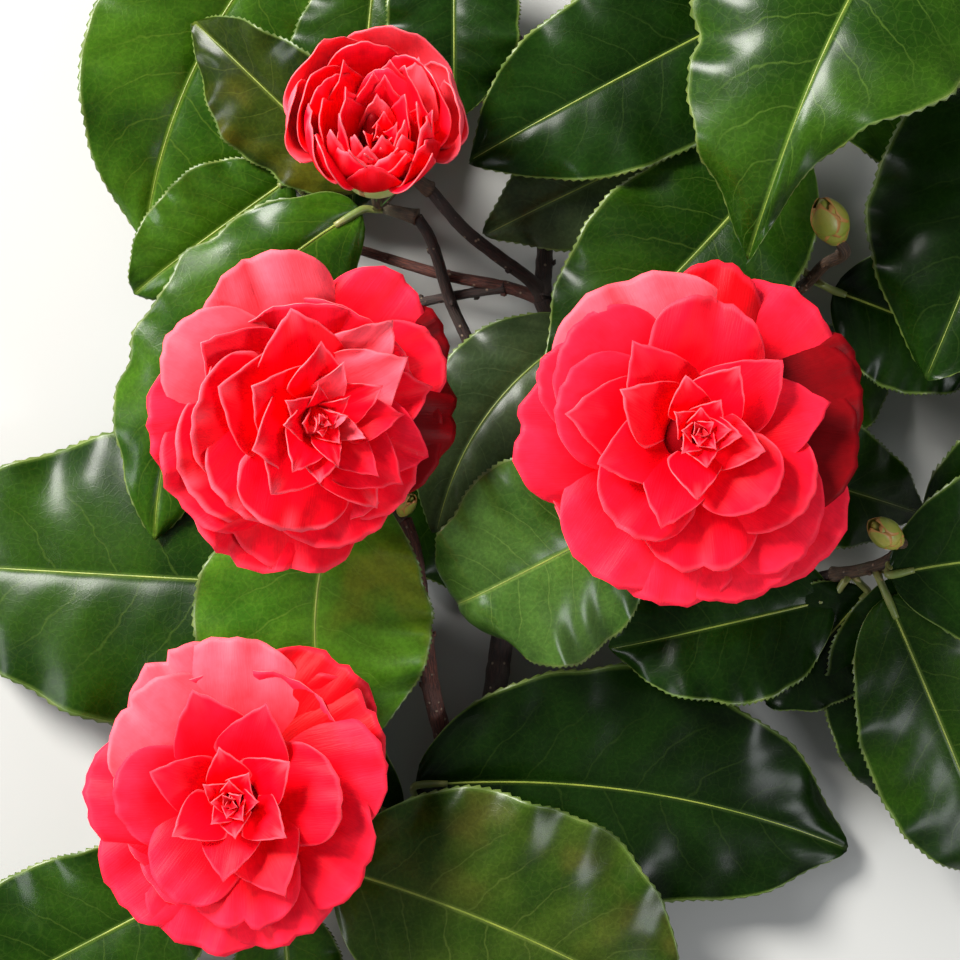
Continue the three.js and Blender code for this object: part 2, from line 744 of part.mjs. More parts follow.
// Limbs, each cut clear of those before it.
const grownLimbs = [];
const taken = [];
for (const [name, { path, radii, sides = 6 }] of Object.entries(limbs)) {
  const points = path.map(place);
  let solid = twig(points, radii, sides);
  for (const grown of grownLimbs) {
    solid = solid.subtract(grown);
  }
  branch.add(meshOf(oneBody(solid), name, bark));
  grownLimbs.push(twig(points, radii, sides, 2, clearance));
  taken.push({ points: curveThrough(points).getPoints(5 * path.length), reach: radii[0] + limbSpacing });
}

// Blooms, each in a group of its own with its calyx.
const seats = {};
for (const [name, bloom] of Object.entries(blooms)) {
  const seat = bloomSeat(bloom);
  seats[name] = { seat, radius: bloom.radius };
  const holder = new THREE.Group();
  holder.position.copy(seat.base);
  holder.quaternion.copy(seat.turn);
  holder.add(meshOf(bloomSolid(bloom, seat.turn), name, petals));
  const calyx = new THREE.Mesh(calyxGeometry(), scales);
  calyx.name = name.replace("bloom", "calyx");
  holder.add(calyx);
  branch.add(holder);
}

// Buds.
for (const [name, { base, tip, radius }] of Object.entries(buds)) {
  const start = place(base);
  const ahead = place(tip).sub(start);
  const bud = new THREE.Mesh(budGeometry(ahead.length(), radius), scales);
  bud.name = name;
  bud.position.copy(start);
  bud.quaternion.setFromUnitVectors(up, ahead.clone().normalize());
  branch.add(bud);
}

// The stem of a spray, up to the bloom or bud that it carries.
function sprayStem({ path, carries }) {
  const points = path.map(place);
  if (carries in blooms) {
    const { seat } = seats[carries];
    points.push(seat.base.clone().addScaledVector(seat.axis, -calyxHeight - bloomStalk));
    points.push(seat.base.clone().addScaledVector(seat.axis, -calyxHeight - clearance));
  }
  if (carries in buds) {
    const start = place(buds[carries].base);
    const ahead = place(buds[carries].tip).sub(start).normalize();
    points.push(start.clone().addScaledVector(ahead, -budStalk));
    points.push(start.clone().addScaledVector(ahead, -clearance));
  }
  return points;
}

// The leaves seen from above come first, so that the seeded ones keep clear of them.
for (const spray of Object.values(sprays)) {
  spray.points = sprayStem(spray);
  spray.grown = spray.leaves.map((leaf) => {
    const base = place(leaf.base);
    const tip = place(leaf.tip);
    const scale = base.distanceTo(tip) / Math.hypot(
      leaf.tip[0] - leaf.base[0], leaf.tip[1] - leaf.base[1], leaf.tip[2] - leaf.base[2]);
    return { leaf: { ...leaf, base, tip, width: leaf.width * scale }, root: nearestPoint(spray.points, base) };
  });
  for (const { leaf } of spray.grown) {
    taken.push({ points: leafSamples(leaf), reach: leafSpacing });
  }
  taken.push({ points: curveThrough(spray.points).getPoints(12), reach: leafSpacing });
}

for (const [name, spray] of Object.entries(sprays)) {
  spray.grown.push(...furtherLeaves(spray.points, spray.more, taken, Object.values(seats)));
  const parts = [twig(spray.points, sprayRadii)];
  for (const { leaf, root } of spray.grown) {
    parts.push(leafSolid(leaf, root));
  }
  let solid = union(parts);
  for (const grown of grownLimbs) {
    solid = solid.subtract(grown);
  }
  branch.add(meshOf(oneBody(solid), name, foliage));
}

// The origin: under the middle of the whole, on the surface that it lies on.
const box = new THREE.Box3().setFromObject(branch, true);
const middle = box.getCenter(new THREE.Vector3());
branch.position.set(-middle.x, -middle.y, -box.min.z);

const part = new THREE.Group();
part.add(branch);

export default part;
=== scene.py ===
import math

import bpy
import numpy as np
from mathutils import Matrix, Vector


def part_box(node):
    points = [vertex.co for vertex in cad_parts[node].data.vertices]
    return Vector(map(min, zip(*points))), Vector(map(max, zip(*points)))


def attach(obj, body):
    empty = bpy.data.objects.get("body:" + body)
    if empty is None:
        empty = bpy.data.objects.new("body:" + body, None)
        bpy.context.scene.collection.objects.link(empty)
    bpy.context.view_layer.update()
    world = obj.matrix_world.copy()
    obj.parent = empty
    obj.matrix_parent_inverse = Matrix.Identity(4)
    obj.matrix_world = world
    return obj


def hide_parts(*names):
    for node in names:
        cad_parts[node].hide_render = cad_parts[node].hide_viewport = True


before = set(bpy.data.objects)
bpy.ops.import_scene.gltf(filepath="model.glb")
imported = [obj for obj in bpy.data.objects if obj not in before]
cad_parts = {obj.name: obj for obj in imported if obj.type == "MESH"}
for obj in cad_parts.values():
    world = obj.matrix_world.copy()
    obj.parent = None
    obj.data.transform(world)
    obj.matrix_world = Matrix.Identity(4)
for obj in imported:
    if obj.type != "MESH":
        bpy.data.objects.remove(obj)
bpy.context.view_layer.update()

# Driving dimensions, the same as in the source
BLOOM_LEVEL = 60.0
EYE_ABOVE_BLOOMS = 620.0
FRAME_WIDTH = 222.7
CUT_RADIUS = 4.2
LEAF_EDGE = 0.6
CURL_START = 0.7
PETIOLE_LENGTH = 8.0
CALYX_HEIGHT = 6.0
CALYX_RADIUS = 8.5
BUD_STALK = 5.0
BLOOM_STALK = 7.0
CLEARANCE = 0.3
SPRAY_RADII = (1.6, 1.4)
LEAF_SPACING = 5.0
LIMB_SPACING = 2.5
GOLDEN_TURN = 137.5
TRIES = 40
LOWEST_LEAF = 1.6
SHORT_LEAF = 56.0
LONG_LEAF = 82.0
SEED = 41

# Sizes that only the dressed branch has
CELL_PAD = 0.03
UNEVEN = 0.03
LEAF_THICKNESS = 0.55
PETAL_THICKNESS = 0.5
SCALE_THICKNESS = 0.3
SWAY = 1.7
GROOVE = 0.35
MIDRIB_WIDTH = 0.9
RIDGE_ROOT = 0.12
STALK_RADIUS = 1.25
AXIL_RADIUS = 0.8
SCAR_RADII = (0.75, 0.6, 0.12)
TOOTH = 0.55
QUILTING = 0.26
SIDE_VEINS = 7
VEINED = 0.84
FIRST_VEIN = 0.06
SIDE_SHIFT = 0.25
LEAN = 0.13
LEAN_OUT = 0.10
LEAN_POWER = 2.4
LIMB_SIDES = 20
STEM_SIDES = 28
SCAR_DISTANCE = 17
PETAL_ROWS = 22
PETAL_COLUMNS = 25
GUARDS = 8
GUARD_DROP = 6.5
CUP_RINGS = (0.93, 0.76, 0.58, 0.4)
# Painted light: the tones of each ring's back petals, from the outside in, lighter where the light falls
CUP_BACK_PAINTED_LIGHT = ("pale", "outer", "middle", "middle")
INNER_SHARE = 0.5
MIDDLE_SHARE = 0.76

# Rings of scales, from the inside out: where one starts and ends, how many scales, and how wide in radians
CALYX_RINGS = [(0.4, 1.5, 6, 0.62), (0.3, 1.12, 5, 0.8), (0.12, 0.85, 5, 0.78), (0.0, 0.6, 4, 0.95)]
BUD_RINGS = [(0.4, 1.0, 3, 1.15), (0.25, 0.9, 3, 1.2), (0.1, 0.72, 3, 1.25), (0.0, 0.5, 3, 1.3)]

# The set, in metres. A lamp has its place from the middle of the view, its size, its power and its colour.
FLOOR = 3.0
FLOOR_COLOUR = (0.4, 0.4, 0.388)
SKY_COLOUR = (0.94, 0.97, 1.0, 1)
SKY_STRENGTH = 0.26
SENSOR = 36.0
AIM_HEIGHT = 0.04
LAMPS = {
    "key": ((-0.64, 0.58, 0.72), 0.42, 32, (1.0, 0.98, 0.94)),
    "side": ((-0.9, -0.2, 0.6), 0.36, 5, (0.96, 0.98, 1.0)),
    "fill": ((0.7, -0.5, 0.7), 0.34, 5, (0.95, 0.97, 1.0)),
}

LIMBS = {
    "main_stem": dict(
        path=[(-2, -132, 4.2), (-3, -112, 4.6), (-3, -92, 7), (-2, -75, 11)], radii=(CUT_RADIUS, 3.4),
        sides=10),
    "bough_left": dict(
        path=[(-2.6, -79, 10), (-6.5, -66, 19), (-11, -50, 26), (-12.8, -36, 29), (-15, -18, 32),
              (-17.5, -9, 33)],
        dips=(10, 12, 18, 27, 32, 33), radii=(2.6, 1.8)),
    "bough_middle": dict(
        path=[(-2, -75, 11), (3, -52, 12), (8, -22, 11), (19, 0, 11), (22, 22, 13), (14.2, 42.2, 20)],
        radii=(3.2, 2.2)),
    "bough_upper": dict(
        path=[(14.2, 42.2, 20), (15, 52, 20), (15.5, 68, 17), (16, 86, 14)], dips=(20, 17.5, 14.5, 14),
        radii=(2.1, 1.9)),
    "bough_upper_left": dict(
        path=[(16, 86, 14), (10, 100, 12.5), (-4, 116, 12), (-20, 126, 12)], radii=(1.7, 1.4)),
    "bough_upper_right": dict(
        path=[(16, 86, 14), (34, 97, 12), (56, 108, 12), (78, 116, 18), (90, 122, 25)], radii=(1.8, 1.4)),
    "twig_bloom_top": dict(
        path=[(14.2, 42.2, 20), (12, 46, 22), (4, 52, 26.5), (-4, 58.5, 31), (-11.6, 67.4, 34)],
        radii=(1.7, 1.5)),
    "twig_inner": dict(
        path=[(14.2, 42.2, 20), (5, 45, 19), (-9.3, 47.8, 18), (-30.2, 54.1, 17)], radii=(1.6, 1.2)),
    "twig_behind": dict(
        path=[(6, 44.7, 19.2), (-2, 43.4, 17), (-13.9, 41.1, 15), (-22, 38, 14)], radii=(1.3, 1.1)),
    "twig_crossing": dict(
        path=[(9.5, -18, 11), (5, -2, 16), (-0.7, 26.2, 22), (-6.7, 41, 26), (-11.1, 55, 28.5),
              (-14.6, 61, 30)],
        dips=(11, 13, 14.5, 18, 27, 30), radii=(1.7, 1.4)),
    "twig_right": dict(
        path=[(8, -22, 11), (24, -29, 10), (44, -30, 10), (66, -26, 14), (82, -22, 21)], radii=(2, 1.6)),
    "twig_bud": dict(
        path=[(22, 18, 13), (34, 26, 10), (52, 33, 11), (68, 41, 17)], radii=(1.8, 1.4)),
    "twig_lower": dict(
        path=[(-3, -114, 4.6), (-12, -111, 6.5), (-24, -103, 11), (-35, -94, 17)], radii=(2, 1.7)),
}

RED_LIMBS = ("bough_left", "twig_inner", "twig_lower")

# Petals are in rows of a kind, with a tone where their place doesn't give it. Each is the direction and
# reach of its tip seen from above, from the bloom's middle, and its breadth where that isn't 1. The dark
# and shaded tones are painted shade on petals in shadow, and pale is partly the petals' own lighter colour
# and partly painted sheen.
BLOOMS = {
    "bloom_right": dict(
        eye=(51.5, 11.1, 86), lean=5, lean_to=10, depth=31, radius=42, fall=19, steep=(28, -6), belly=0.5,
        offset=(0, 0), hearts=13, petals=[
            ("pointed", (105, 13), (59, 17), (41, 25), (-93, 15), (-112, 23), (-163, 24), (152, 20),
                (172, 30), (126, 25), (-5, 9), (-16, 15), (13, 31)),
            ("rounded", (-45, 22), (-34, 30), (-45, 37)),
            ("rounded dark", (18, 40), (-8, 38)),
            ("rounded", (-99, 40), (-70, 40), (-131, 28), (-126, 40), (165, 33)),
            ("creased pale", (117, 39.5, 1.2)),
            ("rounded outer", (142, 37, 0.95), (157, 39, 0.7)),
            ("rounded", (-42, 42)),
            ("rounded dark", (27, 42, 0.75)),
            ("notched", (-87, 32), (180, 42)),
            ("creased", (81, 31)),
            ("rounded outer", (49, 40.5, 1.05)),
            ("rounded shaded", (80, 40, 0.75))]),
    "bloom_left": dict(
        eye=(-35.7, 13, 82), lean=20, lean_to=-25, depth=29, radius=38, fall=18, steep=(34, -2), belly=0.5,
        offset=(0, 0), hearts=7, unrest=0.32, guard=0.68, crumpled=True, petals=[
            ("curled pale", (41, 23)),
            ("folded", (263, 13)),
            ("curled inner", (35, 15, 0.75)),
            ("curled middle", (8, 17, 0.8), (314, 16, 0.8)),
            ("curled", (321, 21)),
            ("folded pale", (58, 28, 0.9)),
            ("curled middle", (20, 25)),
            ("curled", (342, 24)),
            ("folded inner", (300, 22, 0.8)),
            ("curled pale", (74, 14, 0.7)),
            ("curled inner", (50, 8, 0.7)),
            ("curled pale", (340, 9, 0.7)),
            ("curled inner", (285, 10, 0.7), (100, 9, 0.7), (215, 3, 0.8)),
            ("curled pale", (20, 5, 0.8)),
            ("folded", (182, 9), (150, 10), (235, 13), (93, 18)),
            ("pointed inner", (107, 27, 1.15), (153, 18, 1.3), (161, 25, 1.35), (200, 17, 1.35)),
            ("pointed middle", (147, 33, 1.1)),
            ("pointed inner", (232, 20, 1.2)),
            ("creased pale", (114, 42, 0.95)),
            ("rounded pale", (151, 41, 0.85)),
            ("frilled", (183, 41)),
            ("frilled middle", (207, 39), (234, 39), (257, 35)),
            ("rounded middle", (278, 28), (318, 24)),
            ("frilled dark", (5, 29)),
            ("rounded dark", (345, 26)),
            ("rounded outer", (62, 38, 0.8)),
            ("rounded dark", (42, 35, 0.75)),
            ("rounded middle", (33, 31, 0.8)),
            ("rounded inner", (177, 30, 1.25), (203, 35, 1.15), (249, 26, 1.15), (222, 29, 1.1))]),
    "bloom_top": dict(
        eye=(-22.5, 81.2, 66), lean=34, lean_to=92, depth=22, radius=21, fall=-4, steep=(64, 84),
        belly=0.75, offset=(2.8, -7.5), hearts=9, cup=[(31, 19.6), (79, 21.8), (124, 20.8), (165, 19.4),
        (214, 15.6), (270, 15), (324, 15.6), (14, 19.6)], petals=[
            ("pointed", (136, 12)),
            ("curled pale", (66, 19)),
            ("pointed", (22, 12), (214, 9)),
            ("curled pale", (100, 9)),
            ("pointed", (313, 8), (330, 13)),
            ("rounded", (135, 18), (87, 15), (191, 15))]),
    "bloom_lower": dict(
        eye=(-58.5, -75.5, 66), lean=4, lean_to=180, depth=30, radius=36, fall=16, steep=(30, -4),
        belly=0.5, offset=(0, 0), hearts=13, petals=[
            ("pointed", (100, 13), (35, 17), (-30, 15), (-95, 18), (-150, 15), (160, 20), (70, 24),
                (-60, 25), (110, 27)),
            ("rounded", (5, 26), (-125, 27), (180, 28)),
            ("frilled pale", (140, 34), (92, 38)),
            ("frilled shaded", (52, 41)),
            ("rounded", (12, 37)),
            ("frilled", (-28, 36), (-66, 37), (-103, 38)),
            ("rounded", (-140, 38)),
            ("frilled", (-178, 36)),
            ("notched pale", (118, 38)),
            ("frilled shaded", (34, 39)),
            ("notched", (-85, 31))]),
}


def drawn(base, tip, width, **shape):
    """A leaf of the plan, with its base and tip as the eye above reads them."""
    return dict(base=base, tip=tip, width=width, **shape)


# Sprays: small stems that carry leaves, and "more" that grow by a seeded rule. Leaves in the dark and shade
# tones carry painted shade.
SPRAYS = {
    "spray_low_left": dict(
        path=[(-12.6, -33, 29), (-15, -29.2, 29.2), (-18.5, -26, 28)], more=1, leaves=[
            drawn((-21, -25.5, 27), (-136, -19, 8), 66, bank=4, fold=0.16, tone="deep", sag=(4, 0))]),
    "spray_left": dict(
        path=[(-17.5, -9, 33), (-24, -2, 33.5), (-34, 8, 36)], more=2, carries="bloom_left", leaves=[
            drawn((-29.7, 1.3, 36), (-30.2, -70, 35), 53, bow=-8.5, bank=-6, fold=0.1, tone="rust",
                sag=(-5, 1))]),
    "spray_right": dict(
        path=[(19.5, 6, 11.5), (28, 6, 16), (38, 5, 28), (45, 8, 42)], more=2, carries="bloom_right",
        leaves=[
            # This leaf takes the painted sheen tone for the gleam across it
            drawn((38.5, -7, 37), (-12, -32.5, 43), 48, arch=4, bank=-4, curl=110, tone="painted_sheen",
                sag=(6, 0))]),
    "spray_junction": dict(
        path=[(21, 26, 14), (25, 30, 16), (27, 33, 20)], more=0, leaves=[
            drawn((24.4, 35, 22), (-10.2, -12.3, 23), 29, bow=-7, arch=2, bank=6, fold=0.2, tone="grey")]),
    "spray_upper": dict(
        path=[(62, 110, 13), (66, 113, 22), (68, 113, 31)], more=0, leaves=[
            drawn((67.3, 111.4, 39), (-2.8, 74.2, 34), 42, arch=4, bank=-2, tone="dark")]),
    "spray_middle_right": dict(
        path=[(60, 109, 12.5), (67, 99, 17), (72, 91, 23), (74, 85, 30)], more=1, leaves=[
            drawn((73, 79, 33), (15.5, 19.7, 36), 46, bow=2, bank=4, tone="deep"),
            drawn((62, 86, 23), (1, 57, 22), 30, arch=2, bank=-6, tone="grey")]),
    "spray_far_right": dict(
        path=[(90, 122, 25), (98, 132, 38), (103, 142, 52)], more=2, leaves=[
            drawn((103.2, 140, 60), (63, 52, 66), 61, bow=-5, arch=12, bank=6, fold=0.26, droop=8,
                tone="light", sag=(2, 8), slim=(0.3, 1, 0.42), wave=0.035)]),
    "spray_right_edge": dict(
        path=[(84, 119, 21), (100, 116, 22), (118, 112, 28), (130, 108, 36)], more=2, leaves=[
            drawn((134, 104, 38), (103.9, 23.7, 44), 56, arch=4, bank=8, tone="dark", sag=(0, 8))]),
    "spray_upper_left": dict(
        path=[(-20, 126, 12), (-28, 130, 13), (-36, 134, 15)], more=2, leaves=[
            drawn((-40.6, 132, 15), (-78, 56, 13), 51, bow=-7, bank=-10, droop=2, tone="mid"),
            drawn((-24, 122, 17), (-30, 62, 8), 36, tone="deep"),
            drawn((-6, 126, 20), (-6, 84, 20), 30, tone="dark")]),
    "spray_top": dict(
        path=[(-11.6, 67.4, 34), (-17, 70, 37)], more=1, carries="bloom_top", leaves=[]),
    "spray_crossing": dict(
        path=[(-14.6, 61, 30), (-18.5, 62, 29), (-22, 63, 27.5)], more=0, leaves=[
            drawn((-27.5, 62.6, 28.5), (-75.9, -14.2, 28), 42, bow=-13, arch=4, bank=-12, twist=10,
                tone="mid", sag=(0, 7), slim=(1, 0.78, -0.2), wave=0.045),
            drawn((-26.5, 67.5, 25.5), (-66.8, 106.7, 28), 30, bank=-34, twist=16, fold=0.3,
                tone="umber")]),
    "spray_inner": dict(
        path=[(-30.2, 54.1, 17), (-36, 60, 17), (-40, 66, 18)], more=1, leaves=[
            drawn((-44, 70, 17), (-81, 43, 12), 28, arch=2, bank=-10, tone="mid")]),
    "spray_behind": dict(
        path=[(-22, 38, 14), (-30, 36, 14), (-38, 35, 15)], more=2, leaves=[]),
    "spray_right_low": dict(
        path=[(82, -22, 21), (88, -21, 27), (94, -19, 34)], more=2, carries="bud_right", leaves=[
            drawn((95, -22, 38), (172, -23, 30), 45, bow=5, arch=5, bank=8, tone="dark"),
            drawn((82, -27.5, 22), (30.2, -39.4, 24), 36, bank=6, tone="dark"),
            drawn((90, -26, 22), (66, -52, 17), 27, arch=2, tone="shade"),
            drawn((99, -22, 24), (92, -74, 10), 30, tone="dark")]),
    "spray_bud": dict(
        path=[(68, 41, 17), (75, 45, 23), (80, 50, 33)], more=1, carries="bud_upper", leaves=[
            drawn((74, 50, 25), (40, 46, 22), 26, tone="shade"),
            drawn((82, 44, 25), (122, 28, 20), 32, tone="shade")]),
    "spray_lower": dict(
        path=[(-35, -94, 17), (-42, -90, 21), (-50, -82, 26)], more=1, carries="bloom_lower", leaves=[
            drawn((-34, -90, 27), (46, -125, 20), 61, bow=4, arch=6, bank=4, fold=0.14, tone="olive"),
            drawn((-62, -92, 24), (-128, -126, 10), 40, arch=4, tone="deep"),
            drawn((-46, -97, 17), (-42, -136, 8), 24, tone="mid")]),
    "spray_base": dict(
        path=[(-3, -92, 7), (-10, -84, 13), (-15, -77, 18)], more=1, leaves=[
            drawn((-15, -71, 21), (86, -86, 9), 54, bow=7, bank=4, fold=0.14, tone="shade")]),
}

BUDS = {
    "bud_upper": dict(base=(83, 56, 43), tip=(79, 65, 51), radius=4.2),
    "bud_right": dict(base=(97, -14.5, 42), tip=(93.5, -13, 52), radius=3.1, open=0.3,
                      leans=(90.8, -10, 47.5)),
    "bud_left": dict(base=(-18.4, -7.7, 35.2), tip=(-15.6, -4, 42), radius=1.6),
}

CROWN_LOW = (-142, -146)
CROWN_HIGH = (178, 176)
OPEN_PLACES = [(-103, 30, 24), (6, 30, 12), (0, 55, 9), (-4, -50, 8), (-118, 105, 26), (-132, -60, 24)]

UP = np.array([0.0, 0.0, 1.0])


# Small tools for vectors, with the last axis as x, y, z

def unit(v):
    v = np.asarray(v, float)
    return v / np.maximum(np.linalg.norm(v, axis=-1, keepdims=True), 1e-9)


def place(point):
    """The true place of a point that is read off by the eye above."""
    x, y, z = point
    spread = (BLOOM_LEVEL + EYE_ABOVE_BLOOMS - z) / EYE_ABOVE_BLOOMS
    return np.array([x * spread, y * spread, z], float)


def direction(degrees):
    a = math.radians(degrees)
    return np.array([math.cos(a), math.sin(a), 0.0])


class Dice:
    """Numbers from 0 to 1, the same in each run."""

    def __init__(self, state):
        self.state = state

    def __call__(self):
        top = 0xFFFFFFFF
        self.state = (self.state + 0x6D2B79F5) & top
        s = self.state
        mixed = ((s ^ (s >> 15)) * (1 | s)) & top
        mixed = ((mixed + (((mixed ^ (mixed >> 7)) * (61 | mixed)) & top)) & top) ^ mixed
        return ((mixed ^ (mixed >> 14)) & top) / 4294967296.0

    def between(self, low, high):
        return low + (high - low) * self()


dice = Dice(SEED)


class Curve:
    """A smooth curve through points, evenly spaced in its parameter."""

    def __init__(self, points):
        p = np.array(points, float)
        self.p = np.vstack([2 * p[0] - p[1], p, 2 * p[-1] - p[-2]])
        self.spans = len(p) - 1

    def __call__(self, t):
        t = np.asarray(t, float) * self.spans
        i = np.clip(np.floor(t).astype(int), 0, self.spans - 1)
        w = (t - i)[..., None]
        x0, x1, x2, x3 = (self.p[i + k] for k in range(4))
        t0 = 0.5 * (x2 - x0)
        t1 = 0.5 * (x3 - x1)
        return x1 + t0 * w + (-3 * x1 + 3 * x2 - 2 * t0 - t1) * w**2 + (2 * x1 - 2 * x2 + t0 + t1) * w**3

    def points(self, steps):
        return self(np.linspace(0, 1, steps + 1))


def ring_frames(centres):
    """Directions ahead, to the side and to the top along a line of centres, without twisting."""
    ahead = unit(np.vstack([centres[1] - centres[0], centres[2:] - centres[:-2], centres[-1] - centres[-2]]))
    side = unit(np.cross(ahead[0], UP)) if abs(ahead[0][2]) < 0.999 else np.array([1.0, 0, 0])
    sides = []
    for a in ahead:
        side = unit(side - a * side.dot(a))
        sides.append(side)
    sides = np.array(sides)
    return ahead, sides, np.cross(sides, ahead)


def run_along(centres):
    """How far along a line each of its points is."""
    return np.concatenate([[0], np.cumsum(np.linalg.norm(np.diff(centres, axis=0), axis=1))])


def stem_corner():
    """The low corner of the main stem in the plan, which gives the shift to the part's own frame."""
    stem = LIMBS["main_stem"]
    centres = Curve([place(p) for p in stem["path"]]).points(2 * (len(stem["path"]) - 1))
    _, side, top = ring_frames(centres)
    radius = np.linspace(stem["radii"][0], stem["radii"][1], len(centres))[:, None]
    turn = (np.arange(stem["sides"]) + 0.5) / stem["sides"] * 2 * math.pi
    rings = [centres + radius * (side * math.cos(a) + top * math.sin(a)) for a in turn]
    return np.concatenate(rings).min(0)


SHIFT = np.array(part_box("main_stem")[0]) * 1000 - stem_corner()


# Meshes

def add_object(name, data):
    piece = bpy.data.objects.new(name, data)
    bpy.context.scene.collection.objects.link(piece)
    return piece


class Heap:
    """Vertices and faces gathered from many small shapes, for one object.

    Each corner of a face carries "grain" in millimetres along and across its shape, "blade" as a
    share of its length and width, and a place in its own cell of the baked picture."""

    def __init__(self):
        self.shapes = []
        self.count = 0
        self.cell_count = 1

    def add(self, points, faces, slot, grain, blade, grid, cell):
        points = points.reshape(-1, 3)
        slots, cells = (np.broadcast_to(np.asarray(n, int), len(faces)) for n in (slot, cell))
        self.shapes.append((points, faces + self.count, slots, grain, blade, grid, cells))
        self.count += len(points)

    def baked(self, grid, cells):
        """Each corner's place in the baked picture, one square cell to a shape."""
        columns = math.ceil(math.sqrt(self.cell_count))
        rows = math.ceil(self.cell_count / columns)
        corner = np.stack([cells % columns, cells // columns], -1)[:, None, :]
        return (corner + (CELL_PAD + (1 - 2 * CELL_PAD) * grid)) / np.array([columns, rows])

    def mesh(self, name, materials, slot, replaces=()):
        points, faces, slots, grain, blade, grid, cells = map(np.concatenate, zip(*self.shapes))
        points = (points + SHIFT) * 0.001
        triangle = faces[:, 3] == faces[:, 2]
        sizes = np.where(triangle, 3, 4)
        starts = np.concatenate([[0], np.cumsum(sizes)[:-1]])
        keep = np.ones(faces.shape, bool)
        keep[triangle, 3] = False
        mesh = bpy.data.meshes.new(name)
        mesh.vertices.add(len(points))
        mesh.vertices.foreach_set("co", points.astype(np.float32).ravel())
        mesh.loops.add(int(sizes.sum()))
        mesh.loops.foreach_set("vertex_index", faces[keep].astype(np.int32))
        mesh.polygons.add(len(faces))
        mesh.polygons.foreach_set("loop_start", starts.astype(np.int32))
        mesh.polygons.foreach_set("material_index", slots.astype(np.int32))
        mesh.polygons.foreach_set("use_smooth", np.full(len(faces), True))
        layers = {"grain": grain, "blade": blade, "OFBake": self.baked(grid, cells)}
        for layer_name, corners in layers.items():
            layer = mesh.uv_layers.new(name=layer_name)
            layer.uv.foreach_set("vector", corners[keep].astype(np.float32).ravel())
        mesh.update(calc_edges=True)
        mesh.validate()
        piece = add_object(name, mesh)
        for material in materials:
            mesh.materials.append(material)
        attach(piece, "root")
        if replaces:
            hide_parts(*replaces)


def grid_faces(rows, columns, start=0):
    """Quads over a grid of points, rows by columns."""
    i, k = np.meshgrid(np.arange(rows - 1), np.arange(columns - 1), indexing="ij")
    a = (start + i * columns + k).ravel()
    return np.stack([a, a + 1, a + columns + 1, a + columns], 1)


def wrapped_faces(rows, columns):
    """Quads over rings of points that each close on themselves, and each corner's row and column."""
    i, k = np.meshgrid(np.arange(rows - 1), np.arange(columns), indexing="ij")
    i, k = i.ravel(), k.ravel()
    a = i * columns + k
    b = i * columns + (k + 1) % columns
    row = np.stack([i, i, i + 1, i + 1], 1)
    column = np.stack([k, k + 1, k + 1, k], 1)
    return np.stack([a, b, b + columns, a + columns], 1), row, column


def cap_faces(start, columns, flip=False):
    """A fan of triangles that closes a ring."""
    k = np.arange(1, columns - 1)
    first = np.full_like(k, start)
    if flip:
        return np.stack([first, start + k + 1, start + k, start + k], 1)
    return np.stack([first, start + k, start + k + 1, start + k + 1], 1)


def add_sheet(heap, top, below, slots, grain, blade, edge_rows=0, edge_columns=0):
    """Adds a closed sheet. slots are the materials of its top, its underside and its edge."""
    rows, columns = top.shape[:2]
    size = rows * columns
    first = np.arange(columns)
    last = (rows - 1) * columns + first
    low = np.arange(rows) * columns
    high = low + columns - 1
    loop = np.concatenate([first[::-1][:-1], low[:-1], last[:-1], high[::-1][:-1]])
    following = np.roll(loop, -1)
    upper = grid_faces(rows, columns)
    under = grid_faces(rows, columns, size)[:, ::-1]
    rim = np.stack([loop, loop + size, following + size, following], 1)[:, ::-1]
    edge = np.zeros((rows - 1, columns - 1), bool)
    if edge_rows:
        edge[-edge_rows:] = True
    if edge_columns:
        edge[:, :edge_columns] = True
        edge[:, -edge_columns:] = True
    faces = np.vstack([upper, under, rim])
    slot = np.concatenate([np.where(edge.ravel(), slots[2], slots[0]), np.full(len(under), slots[1]),
                           np.full(len(rim), slots[2])])
    grid = np.stack(np.meshgrid(np.linspace(0, 1, rows), np.linspace(0, 1, columns), indexing="ij"), -1)
    place_in = [np.concatenate([a.reshape(-1, 2)] * 2)[faces] for a in (grain, blade, grid)]
    cell = heap.cell_count + np.repeat([0, 1, 0], [len(upper), len(under), len(rim)])
    heap.add(np.concatenate([top.reshape(-1, 3), below.reshape(-1, 3)]), faces, slot, *place_in, cell)
    heap.cell_count += 2


def ripple(x, y, seed):
    """A smooth wandering value between about -1 and 1."""
    total = np.zeros(np.broadcast(x, y).shape)
    for k in range(4):
        a = 1.7 * k + 0.61 * seed
        total = total + np.sin((1.0 + 0.7 * k) * (x * math.cos(a) + y * math.sin(a)) + 2.3 * a)
    return total / 4


def add_rings(heap, points, run, around, slot=0, small=False):
    """Adds rings of points as a closed tube. Small shapes share one cell of the baked picture."""
    rows, columns = points.shape[:2]
    faces, row, column = wrapped_faces(rows, columns)
    caps = np.vstack([cap_faces(0, columns, True), cap_faces((rows - 1) * columns, columns)])
    share = np.stack([row / (rows - 1), column / columns], -1)
    end = np.repeat([[0.0], [1.0]], columns - 2, axis=0)[:, :, None]
    share = np.concatenate([share, np.broadcast_to(np.concatenate([end, end * 0 + 0.5], -1),
                                                   (len(caps), 4, 2))])
    grain = np.stack([np.interp(share[..., 0], np.linspace(0, 1, rows), run), share[..., 1] * around], -1)
    cell = 0 if small else heap.cell_count
    heap.add(points, np.vstack([faces, caps]), slot, grain, share, share, cell)
    heap.cell_count += 0 if small else 1


